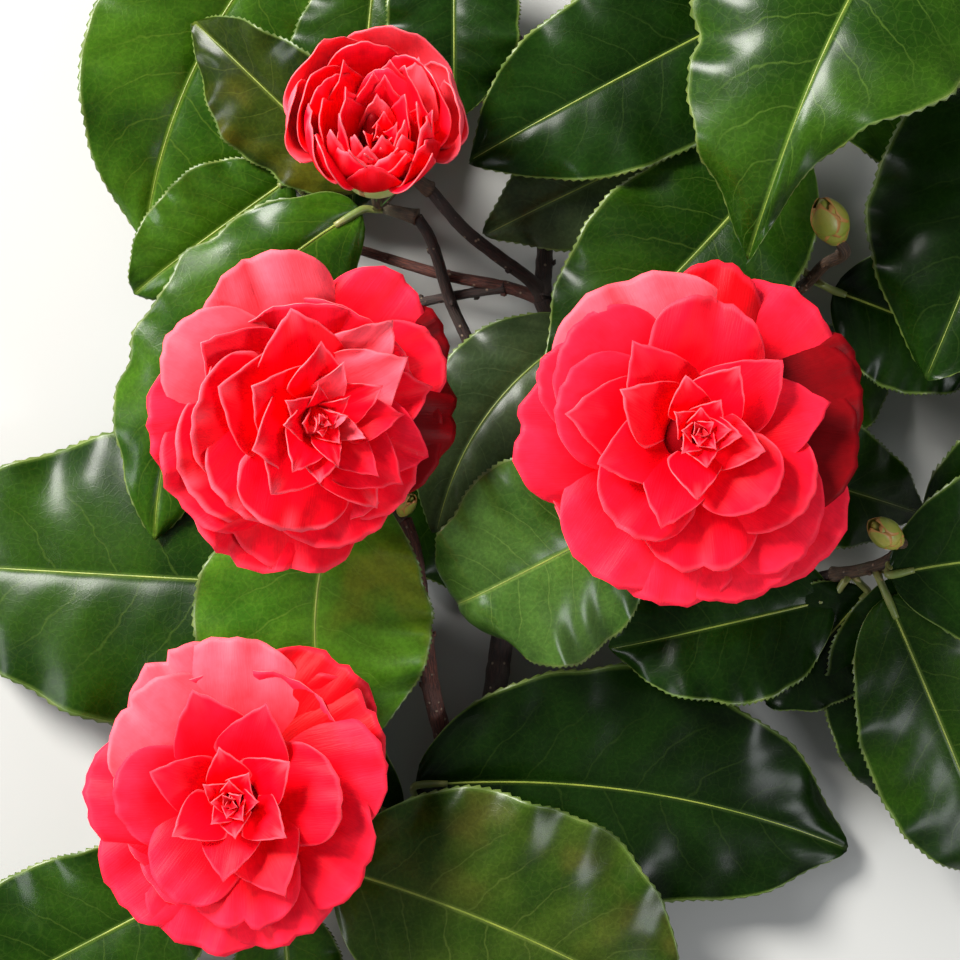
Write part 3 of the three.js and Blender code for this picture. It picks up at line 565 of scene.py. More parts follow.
def add_tube(heap, centres, radii, sides, relief=0.0, seed=0.0, small=False):
    """A tube along centres, with a wandering surface where relief is set."""
    centres = np.asarray(centres, float)
    radii = np.asarray(radii, float)
    _, side, top = ring_frames(centres)
    turn = np.arange(sides) / sides * 2 * math.pi
    run = run_along(centres)
    scale = 1 + relief * (
        0.6 * ripple(run[:, None] * 0.9, np.sin(turn)[None, :] * 2.2, seed)
        + 0.5 * ripple(run[:, None] * 2.7, np.cos(turn)[None, :] * 4.5, seed + 3))
    r = radii[:, None] * scale
    points = (centres[:, None, :] + r[..., None] * (
        side[:, None, :] * np.cos(turn)[None, :, None] + top[:, None, :] * np.sin(turn)[None, :, None]))
    add_rings(heap, points, run, 2 * math.pi * radii.mean(), small=small)


# Leaves, by the source's rule

def leaf_outline(t):
    t = np.clip(t, 0, 1)
    oval = np.sin(np.pi * t**0.88)
    oval = np.maximum(oval, 0) ** 0.64
    taper = np.maximum(0, (t - 0.78) / 0.22) ** 1.5
    return oval * (1 - 0.45 * taper)


LEAF_SHAPE = dict(bow=0, arch=3, bank=0, twist=0, fold=0.2, dome=0.16, droop=3, curl=0, tone="mid",
                  sag=(0, 0), slim=(1, 1, 0), wave=0.008)


class Leaf:
    """One leaf. sag, slim and wave only change the blade that is drawn, and the rest is the source's rule.

    sag is how far its left and right margins hang in millimetres. slim is how wide its left and right
    sides are, from a share of its length on. wave is how much its margins swing in and out."""

    def __init__(self, base, tip, width, **shape):
        vars(self).update(LEAF_SHAPE, **shape)
        self.base = base
        self.width = width
        self.length = np.linalg.norm(tip - base)
        self.along = (tip - base) / self.length
        self.rise = unit(UP - self.along * self.along[2])
        self.left = np.cross(self.rise, self.along)

    def midrib(self, t):
        t = np.asarray(t, float)
        swell = 4 * t * (1 - t)
        past = np.maximum(0, t - CURL_START)
        forward = t * self.length
        hang = self.droop * (past / (1 - CURL_START)) ** 2
        if self.curl > 0:
            rolled = math.radians(self.curl) * past / (1 - CURL_START)
            roll = (1 - CURL_START) * self.length / math.radians(self.curl)
            forward = np.minimum(t, CURL_START) * self.length + roll * np.sin(rolled)
            hang = hang + roll * (1 - np.cos(rolled))
        return (self.base + self.along * forward[..., None] + self.left * (self.bow * swell)[..., None]
                + self.rise * (self.arch * swell - hang)[..., None])

    def frames(self, t):
        """Directions ahead, across to the left, and out of the upper side, along the midrib."""
        ahead = unit(self.midrib(t + 0.01) - self.midrib(t - 0.01))
        turn = np.radians(self.bank + self.twist * (t - 0.5))[..., None]
        across = self.left * np.cos(turn) + self.rise * np.sin(turn)
        across = unit(across - ahead * (across * ahead).sum(-1, keepdims=True))
        return ahead, across, np.cross(ahead, across)

    def surface(self, t, s, below=0.0, extra=0.0):
        t, s = np.broadcast_arrays(np.asarray(t, float), np.asarray(s, float))
        ahead, across, normal = self.frames(t)
        half = self.half(t)
        height = half * (self.fold * np.abs(s) - self.dome * s * s) + extra - below
        return self.midrib(t) + across * (s * half)[..., None] + normal * height[..., None]

    def half(self, t):
        return 0.5 * self.width * leaf_outline(t) + LEAF_EDGE

    def samples(self):
        t, s = np.meshgrid(np.arange(13) / 12, np.arange(-4, 5) / 4, indexing="ij")
        return self.surface(t, s).reshape(-1, 3)


def bloom_seat(bloom):
    """A bloom's axis, the turn from its own frame, and the place of its foot."""
    lean, to = math.radians(bloom["lean"]), math.radians(bloom["lean_to"])
    axis = np.array([math.sin(lean) * math.cos(to), math.sin(lean) * math.sin(to), math.cos(lean)])
    turn_about = np.cross(UP, axis)
    k = np.array([[0, -turn_about[2], turn_about[1]], [turn_about[2], 0, -turn_about[0]],
                  [-turn_about[1], turn_about[0], 0]])
    turn = np.eye(3) + k + k @ k / (1 + axis[2])
    middle = turn @ np.array([bloom["offset"][0], bloom["offset"][1], bloom["depth"]])
    return dict(axis=axis, turn=turn, base=place(bloom["eye"]) - middle)


SEATED = {name: {**bloom, **bloom_seat(bloom)} for name, bloom in BLOOMS.items()}


def spray_points(spray):
    """The stem of a spray, up to the bloom or bud that it carries."""
    points = [place(p) for p in spray["path"]]
    carried = spray.get("carries")
    if carried in SEATED:
        bloom = SEATED[carried]
        points.append(bloom["base"] - bloom["axis"] * (CALYX_HEIGHT + BLOOM_STALK))
        points.append(bloom["base"] - bloom["axis"] * (CALYX_HEIGHT + CLEARANCE))
    if carried in BUDS:
        start = place(BUDS[carried]["base"])
        ahead = unit(place(BUDS[carried]["tip"]) - start)
        points.append(start - ahead * BUD_STALK)
        points.append(start - ahead * CLEARANCE)
    return np.array(points)


def is_clear(samples, taken):
    """Whether a leaf keeps to its space, clear of limbs, blooms and other leaves."""
    x, y, z = samples.T
    low, high = samples.min(0), samples.max(0)
    if low[2] < LOWEST_LEAF or (low[:2] < CROWN_LOW).any() or (high[:2] > CROWN_HIGH).any():
        return False
    spread = (BLOOM_LEVEL + EYE_ABOVE_BLOOMS - z) / EYE_ABOVE_BLOOMS
    for cx, cy, radius in OPEN_PLACES:
        if (np.hypot(x / spread - cx, y / spread - cy) < radius).any():
            return False
    for bloom in SEATED.values():
        local = (samples - bloom["base"]) @ bloom["turn"]
        out = np.hypot(local[:, 0], local[:, 1])
        lowest = np.where(out < 12, -9, 3)
        if ((out < bloom["radius"] + 2) & (local[:, 2] > lowest)).any():
            return False
    for points, reach in taken:
        gap = samples[:, None, :] - points[None, :, :]
        if ((gap * gap).sum(-1) < reach**2).any():
            return False
    return True


def further_leaves(points, count, taken):
    """Leaves at places found by dice, where they stay clear of all that is there."""
    curve = Curve(points)
    grown = []
    heading = 360 * dice()
    for _ in range(count):
        for _ in range(TRIES):
            heading += GOLDEN_TURN
            start = curve(0.25 + 0.6 * dice())
            ahead = direction(heading)
            length = dice.between(SHORT_LEAF, LONG_LEAF)
            base = start + ahead * PETIOLE_LENGTH
            base[2] = start[2] - 1
            tip = base + ahead * length
            tip[2] = 3 + 0.4 * start[2] * dice()
            leaf = Leaf(base, tip, 0.5 * length, bank=16 * dice() - 8, tone="deep")
            samples = leaf.samples()
            if is_clear(samples, taken):
                grown.append((leaf, start))
                taken.append((samples, LEAF_SPACING))
                break
    return grown


def nearest_point(points, target):
    samples = Curve(points).points(24)[4:-1]
    return samples[np.argmin(np.linalg.norm(samples - target, axis=1))]


def grow():
    """Every leaf of every spray, with the place on the stem that it grows from."""
    taken = []
    for limb in LIMBS.values():
        curve = Curve([place(p) for p in limb["path"]])
        taken.append((curve.points(5 * len(limb["path"])), limb["radii"][0] + LIMB_SPACING))
    grown = {}
    stems = {}
    for name, spray in SPRAYS.items():
        stems[name] = spray_points(spray)
        grown[name] = []
        for plan in spray["leaves"]:
            base, tip = place(plan["base"]), place(plan["tip"])
            scale = np.linalg.norm(tip - base) / np.linalg.norm(np.subtract(plan["tip"], plan["base"]))
            leaf = Leaf(**{**plan, "base": base, "tip": tip, "width": plan["width"] * scale})
            grown[name].append((leaf, nearest_point(stems[name], base)))
            taken.append((leaf.samples(), LEAF_SPACING))
        taken.append((Curve(stems[name]).points(12), LEAF_SPACING))
    for name, spray in SPRAYS.items():
        grown[name] += further_leaves(stems[name], spray["more"], taken)
    return stems, grown


STEMS, GROWN = grow()


# Materials

class Paint:
    """A material under construction. Inputs are sockets, numbers or colours."""

    def __init__(self, name):
        self.material = bpy.data.materials.new(name)
        self.material.use_nodes = True
        self.tree = self.material.node_tree
        self.shader = self.tree.nodes["Principled BSDF"]
        self.place = self.node("TexCoord").outputs["Object"]
        self.normal = None

    def feed(self, socket, value):
        if isinstance(value, bpy.types.NodeSocket):
            self.tree.links.new(value, socket)
        elif isinstance(value, (int, float)):
            socket.default_value = value
        else:
            socket.default_value = (*value, 1)

    def node(self, kind, inputs=(), **settings):
        node = self.tree.nodes.new("ShaderNode" + kind)
        for key, value in settings.items():
            setattr(node, key, value)
        for key, value in dict(inputs).items():
            self.feed(node.inputs[key], value)
        return node

    def math(self, kind, *values):
        return self.node("Math", enumerate(values), operation=kind).outputs[0]

    def times(self, a, b):
        return self.math("MULTIPLY", a, b)

    def plus(self, a, b):
        return self.math("ADD", a, b)

    def share(self, value, start, end, low=0.0, high=1.0):
        """Smoothly low to high as the value goes from start to end."""
        values = enumerate((value, start, end, low, high))
        return self.node("MapRange", values, interpolation_type="SMOOTHSTEP").outputs[0]

    def mix(self, factor, a, b, kind="MIX"):
        node = self.node("Mix", data_type="RGBA", blend_type=kind)
        for socket, value in zip([s for s in node.inputs if s.enabled], (factor, a, b)):
            self.feed(socket, value)
        return [s for s in node.outputs if s.enabled][0]

    def shade(self, factor, colour, grey):
        return self.mix(factor, colour, grey, "MULTIPLY")

    def uv(self, name, scale=None):
        corners = self.node("UVMap", uv_map=name).outputs["UV"]
        if scale is None:
            return corners
        return self.node("Mapping", {"Vector": corners, "Scale": scale}).outputs["Vector"]

    def parts(self, vector):
        return self.node("SeparateXYZ", {0: vector}).outputs[:2]

    def noise(self, vector, scale, detail=3.0, roughness=0.5):
        inputs = {"Vector": vector, "Scale": scale, "Detail": detail, "Roughness": roughness}
        return self.node("TexNoise", inputs).outputs["Fac"]

    def cells(self, vector, scale, feature="F1"):
        inputs = {"Vector": vector, "Scale": scale}
        return self.node("TexVoronoi", inputs, feature=feature).outputs["Distance"]

    def bump(self, height, strength, distance):
        inputs = {"Height": height, "Strength": strength, "Distance": distance}
        if self.normal is not None:
            inputs["Normal"] = self.normal
        self.normal = self.node("Bump", inputs).outputs["Normal"]

    def finish(self, colour, roughness, coat=0.0, coat_roughness=0.1, specular=0.5):
        inputs = {"Base Color": colour, "Roughness": roughness, "Coat Weight": coat,
                  "Coat Roughness": coat_roughness, "Specular IOR Level": specular}
        if self.normal is not None:
            inputs["Normal"] = self.normal
        for key, value in inputs.items():
            self.feed(self.shader.inputs[key], value)
        return self.material


def leaf_material(name, dark, light, vein, roughness, specular=0.06, coat=0.22, tint=None, tint_share=0.0):
    """A leathery leaf: two greens, paler veins that loop and net, painted shade along the side veins with
    painted light on the bulges between them, and a broken gloss.
    """
    p = Paint(name)
    t, s = p.parts(p.uv("blade"))
    grain = p.uv("grain")
    _, out = p.parts(grain)
    a = p.math("ABSOLUTE", s)
    lean = p.plus(p.times(a, LEAN), p.times(p.math("POWER", a, LEAN_POWER), LEAN_OUT))
    ahead = p.math("SUBTRACT", p.math("SUBTRACT", t, lean), FIRST_VEIN)
    phase = p.plus(p.times(ahead, SIDE_VEINS / VEINED), p.times(p.math("SIGN", s), SIDE_SHIFT))
    phase = p.plus(phase, p.times(p.noise(grain, 0.12, 2), 0.5))
    apart = p.math("PINGPONG", phase, 0.5)
    side = p.times(p.share(apart, 0.008, 0.03, 1, 0), p.share(a, 0.35, 0.95, 0.5, 0.04))
    midrib = p.share(p.math("ABSOLUTE", out), 0.35, 0.95, 1, 0)
    net = p.share(p.cells(grain, 0.42, "DISTANCE_TO_EDGE"), 0.0, 0.09, 1, 0)
    small_net = p.share(p.cells(grain, 1.3, "DISTANCE_TO_EDGE"), 0.0, 0.12, 1, 0)
    veins = p.math("MAXIMUM", p.math("MAXIMUM", side, midrib), p.times(net, 0.14))
    broad = p.noise(p.place, 38, 4)
    colour = p.mix(p.share(broad, 0.36, 0.66), dark, light)
    if tint:
        patches = p.times(p.share(p.noise(p.place, 45), 0.46, 0.66), p.share(out, -4, 12, 0, tint_share))
        colour = p.mix(patches, colour, tint)
    # Painted shade along the side veins and painted light on the bulges between them
    colour = p.shade(1.0, colour, p.share(apart, 0.0, 0.5, 0.9, 1.06))
    colour = p.mix(p.times(veins, 0.4), colour, vein)
    colour = p.mix(p.share(a, 0.95, 0.99, 0, 0.7), colour, MARGIN_COLOUR)
    speckle = p.noise(p.place, 1100)
    colour = p.shade(1.0, colour, p.share(speckle, 0.35, 0.65, 0.86, 1.08))
    p.bump(broad, 0.25, 0.0012)
    p.bump(p.plus(p.times(net, -0.7), p.times(small_net, -0.3)), 0.16, 0.00015)
    p.bump(speckle, 0.12, 0.0001)
    gloss = p.share(p.noise(p.place, 60), 0.35, 0.65, roughness, roughness + 0.14)
    return p.finish(colour, gloss, coat, 0.24, specular)


def plain_material(name, colour, other, roughness, scale=160):
    """One colour wandering into another, with a fine grain."""
    p = Paint(name)
    p.bump(p.noise(p.place, 1100, 2), 0.3, 0.0002)
    return p.finish(p.mix(p.share(p.noise(p.place, scale, 4), 0.36, 0.66), colour, other), roughness)


def bark_material(name, dark, light, grey, roughness):
    """Young bark: fine lengthwise ridges, pale pores and grey patches."""
    p = Paint(name)
    ridges = p.noise(p.uv("grain", (0.22, 2.0)), 1.5, 5, 0.62)
    colour = p.mix(p.share(ridges, 0.38, 0.64), dark, light)
    colour = p.mix(p.share(p.noise(p.place, 130, 4), 0.52, 0.68, 0, 0.75), colour, grey)
    pores = p.share(p.cells(p.place, 430), 0.08, 0.2, 1, 0)
    p.bump(ridges, 0.8, 0.0007)
    p.bump(pores, 0.6, 0.0004)
    return p.finish(p.mix(p.times(pores, 0.75), colour, PORE_COLOUR), roughness)


def petal_material(name, heart, outer, edge, blush_and_sheen, edge_share, tip_highlight_share, vein_share):
    """A petal: deep at its foot and lighter outwards, partly its own colour and partly painted shade at the
    foot and painted sheen outwards, finely veined, with a paler edge and a painted highlight streak down the
    middle near its tip.
    """
    p = Paint(name)
    v, u = p.parts(p.uv("blade"))
    a = p.math("ABSOLUTE", u)
    veins = p.noise(p.uv("grain", (0.06, 0.85)), 3.2)
    mottle = p.noise(p.place, 420)
    along = p.plus(v, p.times(p.math("SUBTRACT", p.noise(p.place, 95), 0.5), 0.55))
    # Deep red at the foot going over to coral outwards: partly the petal's own colour, partly painted shade
    # at the foot and painted sheen outwards
    colour = p.mix(p.share(along, *blush_and_sheen), heart, outer)
    colour = p.shade(vein_share, colour, p.share(veins, 0.36, 0.6, 0.78, 1.02))
    colour = p.shade(0.6, colour, p.share(mottle, 0.36, 0.6, 0.84, 1.02))
    rim = p.times(p.share(p.math("MAXIMUM", a, v), 0.93, 0.995), edge_share)
    # Painted highlight: a pale streak down the middle near the tip
    tip_highlight = p.times(p.share(a, 0.0, 0.22, 1, 0), p.share(v, 0.72, 1.0))
    colour = p.mix(p.math("MAXIMUM", rim, p.times(tip_highlight, tip_highlight_share)), colour, edge)
    p.bump(veins, 0.22, 0.0005)
    p.bump(mottle, 0.25, 0.0002)
    return p.finish(colour, 0.5, specular=0.09)


PORE_COLOUR = (0.33, 0.24, 0.16)
MARGIN_COLOUR = (0.07, 0.115, 0.018)

# A leaf's dark and light green, its veins, its roughness, and its specular, coat and tint where special
LEAF_LOOKS = {
    "light": ((0.0076, 0.029, 0.001), (0.02, 0.058, 0.0024), (0.13, 0.22, 0.03), 0.27),
    "mid": ((0.012, 0.043, 0.001), (0.03, 0.082, 0.003), (0.13, 0.2, 0.02), 0.25),
    "rust": ((0.023, 0.075, 0.003), (0.056, 0.138, 0.007), (0.16, 0.24, 0.03), 0.27, 0.06, 0.22,
             (0.18, 0.13, 0.01), 0.42),
    # Painted sheen: a lighter green that stands in for the broad gleam across one leaf
    "painted_sheen": ((0.016, 0.05, 0.004), (0.055, 0.12, 0.018), (0.2, 0.3, 0.06), 0.27, 0.06, 0.36),
    "deep": ((0.005, 0.02, 0.0008), (0.0135, 0.041, 0.0016), (0.08, 0.13, 0.018), 0.27, 0.06, 0.15),
    # Painted shade: dark and shade are darker greens for leaves that lie in shadow
    "dark": ((0.0025, 0.011, 0.0006), (0.0065, 0.024, 0.002), (0.04, 0.075, 0.012), 0.26, 0.04, 0.13),
    "shade": ((0.0018, 0.0075, 0.0005), (0.0045, 0.0165, 0.0014), (0.03, 0.055, 0.008), 0.26, 0.03, 0.16),
    "olive": ((0.014, 0.036, 0.002), (0.033, 0.06, 0.005), (0.12, 0.16, 0.03), 0.28, 0.06, 0.22,
              (0.09, 0.06, 0.012), 0.35),
    "umber": ((0.007, 0.017, 0.001), (0.02, 0.034, 0.002), (0.1, 0.13, 0.015), 0.3, 0.03, 0.22,
              (0.14, 0.11, 0.008), 0.5),
    "grey": ((0.017, 0.032, 0.009), (0.04, 0.06, 0.02), (0.09, 0.13, 0.045), 0.36),
}
LEAF_TONES = {tone: leaf_material("leaf_" + tone, *look) for tone, look in LEAF_LOOKS.items()}
MARGIN = plain_material("leaf_margin", (0.055, 0.095, 0.012), (0.11, 0.15, 0.03), 0.42)
UNDERSIDE = plain_material("leaf_underside", (0.09, 0.15, 0.03), (0.13, 0.2, 0.055), 0.5)
VEIN = plain_material("leaf_vein", (0.135, 0.185, 0.018), (0.23, 0.27, 0.035), 0.42)
STALK = plain_material("leaf_stalk", (0.11, 0.15, 0.03), (0.19, 0.19, 0.055), 0.42)
BARK = bark_material("bark", (0.008, 0.004, 0.003), (0.045, 0.018, 0.012), (0.04, 0.027, 0.021), 0.66)
YOUNG_BARK = bark_material("young_bark", (0.022, 0.012, 0.007), (0.09, 0.045, 0.02), (0.08, 0.07, 0.035), 0.6)
RED_BARK = bark_material("red_bark", (0.03, 0.008, 0.005), (0.14, 0.036, 0.02), (0.09, 0.034, 0.024), 0.6)
CUT_WOOD = plain_material("cut_wood", (0.42, 0.33, 0.19), (0.52, 0.43, 0.28), 0.7)
# A petal's colour at its foot, outwards and at its edge, where one goes over into the next, and how
# strong its edge, the painted highlight streak at its tip and its veins are
PETAL_LOOKS = {
    "inner": ((0.84, 0, 0.005), (1, 0.001, 0.013), (0.93, 0.13, 0.18), (0.1, 0.55), 0.55, 0.4, 0.12),
    "middle": ((0.88, 0, 0.007), (0.98, 0.004, 0.022), (0.93, 0.09, 0.14), (0.3, 1), 0.35, 0.15, 0.2),
    "outer": ((0.9, 0.001, 0.01), (0.98, 0.012, 0.04), (0.94, 0.055, 0.1), (0.5, 1), 0.2, 0, 0.24),
    # Painted shade: dark and shaded stand in for petals that lie in shadow, and pale is partly painted sheen
    "dark": ((0.09, 0, 0.001), (0.18, 0, 0.002), (0.3, 0.006, 0.012), (0.4, 0.95), 0.15, 0, 0.15),
    "pale": ((0.84, 0.004, 0.014), (0.93, 0.075, 0.11), (0.94, 0.15, 0.19), (0.2, 0.85), 0.4, 0.4, 0.2),
    "shaded": ((0.3, 0, 0.001), (0.58, 0, 0.004), (0.8, 0.03, 0.06), (0.2, 0.95), 0.45, 0.2, 0.15),
}
PETALS = {tone: petal_material("petal_" + tone, *look) for tone, look in PETAL_LOOKS.items()}
PETAL_EDGE = plain_material("petal_edge", (0.80, 0.07, 0.09), (0.84, 0.14, 0.16), 0.5)
SEPAL = plain_material("sepal", (0.27, 0.33, 0.09), (0.42, 0.42, 0.16), 0.45)
SEPAL_EDGE = plain_material("sepal_edge", (0.24, 0.13, 0.045), (0.34, 0.19, 0.07), 0.6)
AXIL = plain_material("axil_bud", (0.1, 0.12, 0.025), (0.2, 0.16, 0.05), 0.5, 500)
BUD_SCALE = plain_material("bud_scale", (0.22, 0.26, 0.03), (0.36, 0.31, 0.05), 0.42)
BUD_SCALE_EDGE = plain_material("bud_scale_edge", (0.38, 0.17, 0.04), (0.48, 0.24, 0.06), 0.5)


# Limbs

def limb_centres(points, step):
    curve = Curve(points)
    return curve.points(max(6, int(run_along(curve.points(60))[-1] / step)))


def add_limb(heap, points, radii, seed, sides=LIMB_SIDES, step=0.9, relief=0.045, collar=0.35):
    """A limb with a swollen foot, and a ring and a leaf scar at each old leaf."""
    centres = limb_centres(points, step)
    run = run_along(centres)
    radius = radii[0] + (radii[1] - radii[0]) * (run / run[-1])
    radius = radius * (1 + collar * np.exp(-run / (1.3 * radii[0])))
    spacing = SCAR_DISTANCE + 4 * math.sin(seed)
    scars = np.arange(0.6 * spacing, run[-1] - 4, spacing)
    for scar in scars:
        radius = radius * (1 + 0.05 * np.exp(-((run - scar) / 1.1) ** 2))
        radius = radius * (1 - 0.05 * np.exp(-((run - scar - 1.8) / 0.8) ** 2))
    add_tube(heap, centres, radius, sides, relief=relief, seed=seed)
    _, side, top = ring_frames(centres)
    turn = 40 * seed
    for scar in scars:
        i = int(np.argmin(np.abs(run - scar)))
        turn += GOLDEN_TURN
        out = side[i] * math.cos(math.radians(turn)) + top[i] * math.sin(math.radians(turn))
        ahead = unit(centres[min(i + 1, len(centres) - 1)] - centres[i - 1])
        seat = centres[i] + out * radius[i] * 0.9
        line = [seat, seat + out * 0.5 + ahead * 0.35, seat + out * 0.8 + ahead * 1.1]
        add_tube(heap, line, SCAR_RADII, 8, small=True)


def add_cut(heap, centres, radius):
    """The pale wood of a cut end: a low dome with its rim turned into the bark."""
    ahead = unit(centres[1] - centres[0])
    _, side, top = ring_frames(centres[:4])
    turn = np.arange(STEM_SIDES) / STEM_SIDES * 2 * math.pi
    ring = side[0] * np.cos(turn)[:, None] + top[0] * np.sin(turn)[:, None]
    shares = np.array([0.03, 0.25, 0.5, 0.72, 0.88, 0.95, 0.9])
    steps = np.array([-0.45, -0.42, -0.36, -0.28, -0.2, -0.05, 0.5])
    points = centres[0] + ring[None] * (radius * shares)[:, None, None] + (ahead * steps[:, None])[:, None]
    add_rings(heap, points, radius * np.arange(7) / 6, 2 * math.pi * radius * 0.5, slot=1)


def dress_limbs():
    for number, (name, limb) in enumerate(LIMBS.items()):
        heap = Heap()
        heights = limb.get("dips") or [z for _, _, z in limb["path"]]
        points = [place((x, y, z)) for (x, y, _), z in zip(limb["path"], heights)]
        if name == "main_stem":
            add_limb(heap, points, limb["radii"], number + 2.9, STEM_SIDES, collar=0.02)
            add_cut(heap, limb_centres(points, 0.9), limb["radii"][0])
        else:
            add_limb(heap, points, limb["radii"], number + 2.9)
        bark = RED_BARK if name in RED_LIMBS else BARK
        heap.mesh(f"bark_{name}", [bark, CUT_WOOD], "bark", [name])


def dress_spray_stems():
    heap = Heap()
    for number, (name, points) in enumerate(STEMS.items()):
        add_limb(heap, points, SPRAY_RADII, number + 20.7, 14, 0.8, 0.04)
    heap.mesh("spray_stems", [YOUNG_BARK], "bark")


# Leaves

COLUMNS = np.array([0.0, 0.05, 0.13, 0.24, 0.36, 0.48, 0.6, 0.72, 0.83, 0.93, 0.985, 1.0])
ACROSS = np.concatenate([-COLUMNS[:0:-1], COLUMNS])
STATIONS = 84


def quilting(leaf, t, s):
    """The blade bulges between its side veins, dips along its midrib and sways at its margin."""
    a = np.abs(s)
    ahead = t - LEAN * a - LEAN_OUT * a**LEAN_POWER - FIRST_VEIN
    phase = ahead * SIDE_VEINS / VEINED + SIDE_SHIFT * np.sign(s) + 0.17
    window = np.clip(a / 0.2, 0, 1) * np.clip((1 - a) / 0.3, 0, 1) * np.clip((1 - t) / 0.15, 0, 1)
    half = leaf.half(t)
    groove = -GROOVE * np.exp(-((s * half) / 1.6) ** 2)
    size = leaf.width / 45
    bulge = QUILTING * size * (0.5 - 0.5 * np.cos(2 * np.pi * phase)) * window
    turn = 2 * np.pi * (2.3 * t + 0.13 * leaf.length)
    sway = SWAY * size * (np.sin(turn + 1.2 * np.sign(s)) + 0.5 * np.sin(2.7 * turn)) * a**2.2
    sag = np.where(s > 0, leaf.sag[0], leaf.sag[1]) * a**1.8 * np.sin(np.pi * np.clip(t, 0, 1)) ** 0.7
    return bulge + groove - sag + sway * np.clip(t / 0.15, 0, 1)


def unevenness(leaf, t, s):
    """A leaf's two sides each swell and narrow a little, in their own way."""
    turn = 2 * np.pi * (1.2 * t + 0.31 * leaf.length + 0.4 * np.sign(s))
    a = np.abs(s)
    drift = UNEVEN * (np.sin(turn) + 0.55 * np.sin(2.6 * turn + 1))
    return 1 + drift * a + leaf.wave * (np.sin(4.7 * turn) + 0.5 * np.sin(7.9 * turn + 2)) * a**3


def slimness(leaf, t, s):
    """How much narrower a side is than the leaf's rule says, from where it starts to be so."""
    left, right, start = leaf.slim
    share = np.clip((t - start) / 0.4, 0, 1)
    return 1 - (1 - np.where(s > 0, left, right)) * share * share * (3 - 2 * share)


def add_leaf(heap, leaf, slot):
    t = np.linspace(0, 1, STATIONS + 1)[:, None] * np.ones_like(ACROSS)
    s = ACROSS[None, :] * np.ones_like(t)
    half = leaf.half(t)
    tooth = (np.arange(STATIONS + 1) % 2)[:, None] * (np.abs(ACROSS) == 1) * (t > 0.12) * (t < 0.97)
    out = s * slimness(leaf, t, s) * (unevenness(leaf, t, s) + tooth * TOOTH / half)
    forward = np.clip(t + tooth * 0.5 / STATIONS, 0, 1)
    relief = quilting(leaf, t, s)
    top = leaf.surface(forward, out, 0.0, relief)
    below = leaf.surface(forward, out, LEAF_THICKNESS * (1 - 0.55 * np.abs(s) ** 4), relief)
    grain = np.stack([t * leaf.length + leaf.base[0], s * half], -1)
    blade = np.stack([t, s], -1)
    slots = (slot, len(LEAF_TONES), len(LEAF_TONES) + 1)
    add_sheet(heap, top, below, slots, grain, blade, edge_columns=1)


def add_ridge(heap, centres, out, across, width, height):
    """A low ridge of three sides along a line on a surface."""
    left = centres + across * width[:, None] * 0.5 - out * RIDGE_ROOT
    right = centres - across * width[:, None] * 0.5 - out * RIDGE_ROOT
    crest = centres + out * height[:, None]
    run = np.linspace(0, 1, len(centres)) * np.linalg.norm(centres[-1] - centres[0])
    add_rings(heap, np.stack([left, crest, right], 1), run, 1.0)


def add_midrib(heap, leaf):
    t = np.linspace(0.0, 0.985, 40)
    _, across, normal = leaf.frames(t)
    relief = quilting(leaf, t, 0 * t)
    width = MIDRIB_WIDTH * (1 - t) ** 0.7 + 0.2
    add_ridge(heap, leaf.surface(t, 0 * t, 0.0, relief), normal, across, width, 0.3 * width)
    under = leaf.surface(t, 0 * t, LEAF_THICKNESS, relief)
    add_ridge(heap, under, -normal, -across, 1.4 * width, 0.5 * width)


def add_stalk(heap, leaf, root):
    """The petiole, thick at the stem, running out under the midrib."""
    middle_of = np.array(0.0)
    base = leaf.surface(middle_of, middle_of, 0.5 * LEAF_THICKNESS)
    beyond = leaf.surface(middle_of + 0.07, middle_of, 0.5 * LEAF_THICKNESS)
    sag = 0.5 * (root + base) + np.array([0, 0, -0.4])
    centres = Curve([root, sag, base, beyond]).points(18)
    t = np.linspace(0, 1, len(centres))
    waist = 0.35 * np.sin(np.pi * np.clip(t * 1.2, 0, 1))
    radius = STALK_RADIUS - waist - 0.45 * np.clip((t - 0.7) / 0.3, 0, 1)
    add_tube(heap, centres, radius, 12, relief=0.03, seed=leaf.length)


def add_axil_bud(heap, leaf, root):
    """The small pointed bud that sits between a leaf stalk and its stem."""
    ahead = unit(leaf.base - root)
    lift = unit(ahead * 0.55 + UP * 0.85)
    seat = root + ahead * 1.6 + UP * 0.6
    t = np.linspace(0, 1, 9)
    size = 2.8 + 0.9 * math.sin(leaf.length)
    radius = AXIL_RADIUS * np.sin(np.pi * (0.22 + 0.78 * t) ** 0.8) + 0.06
    add_tube(heap, seat + lift * (size * t)[:, None], radius, 10)


def dress_leaves():
    tones = list(LEAF_TONES)
    materials = list(LEAF_TONES.values()) + [UNDERSIDE, MARGIN]
    ribs, stalks, axils = Heap(), Heap(), Heap()
    for name, leaves in GROWN.items():
        if not leaves:
            continue
        heap = Heap()
        for leaf, root in leaves:
            add_leaf(heap, leaf, tones.index(leaf.tone))
            add_midrib(ribs, leaf)
            add_stalk(stalks, leaf, root)
            add_axil_bud(axils, leaf, root)
        heap.mesh(f"leaves_{name}", materials, "foliage", [name])
    ribs.mesh("leaf_midribs", [VEIN], "foliage")
    stalks.mesh("leaf_stalks", [STALK], "foliage")
    axils.mesh("axil_buds", [AXIL], "bud_scales")


# Blooms

def tip_height(bloom, reach):
    return bloom["depth"] - bloom["fall"] * (reach / bloom["radius"]) ** 2


def petal_tip(bloom, heading, reach):
    """A petal's tip in the bloom's own frame, from its direction and reach seen from above."""
    eye = np.array([*bloom["offset"], bloom["depth"]], float)
    goal = direction(heading) * reach + bloom["turn"] @ eye
    tip = eye.copy()
    for _ in range(8):
        seen = bloom["turn"] @ tip
        tip[:2] += goal[:2] - seen[:2]
        tip[2] = tip_height(bloom, np.hypot(*(tip[:2] - eye[:2])))
    return tip


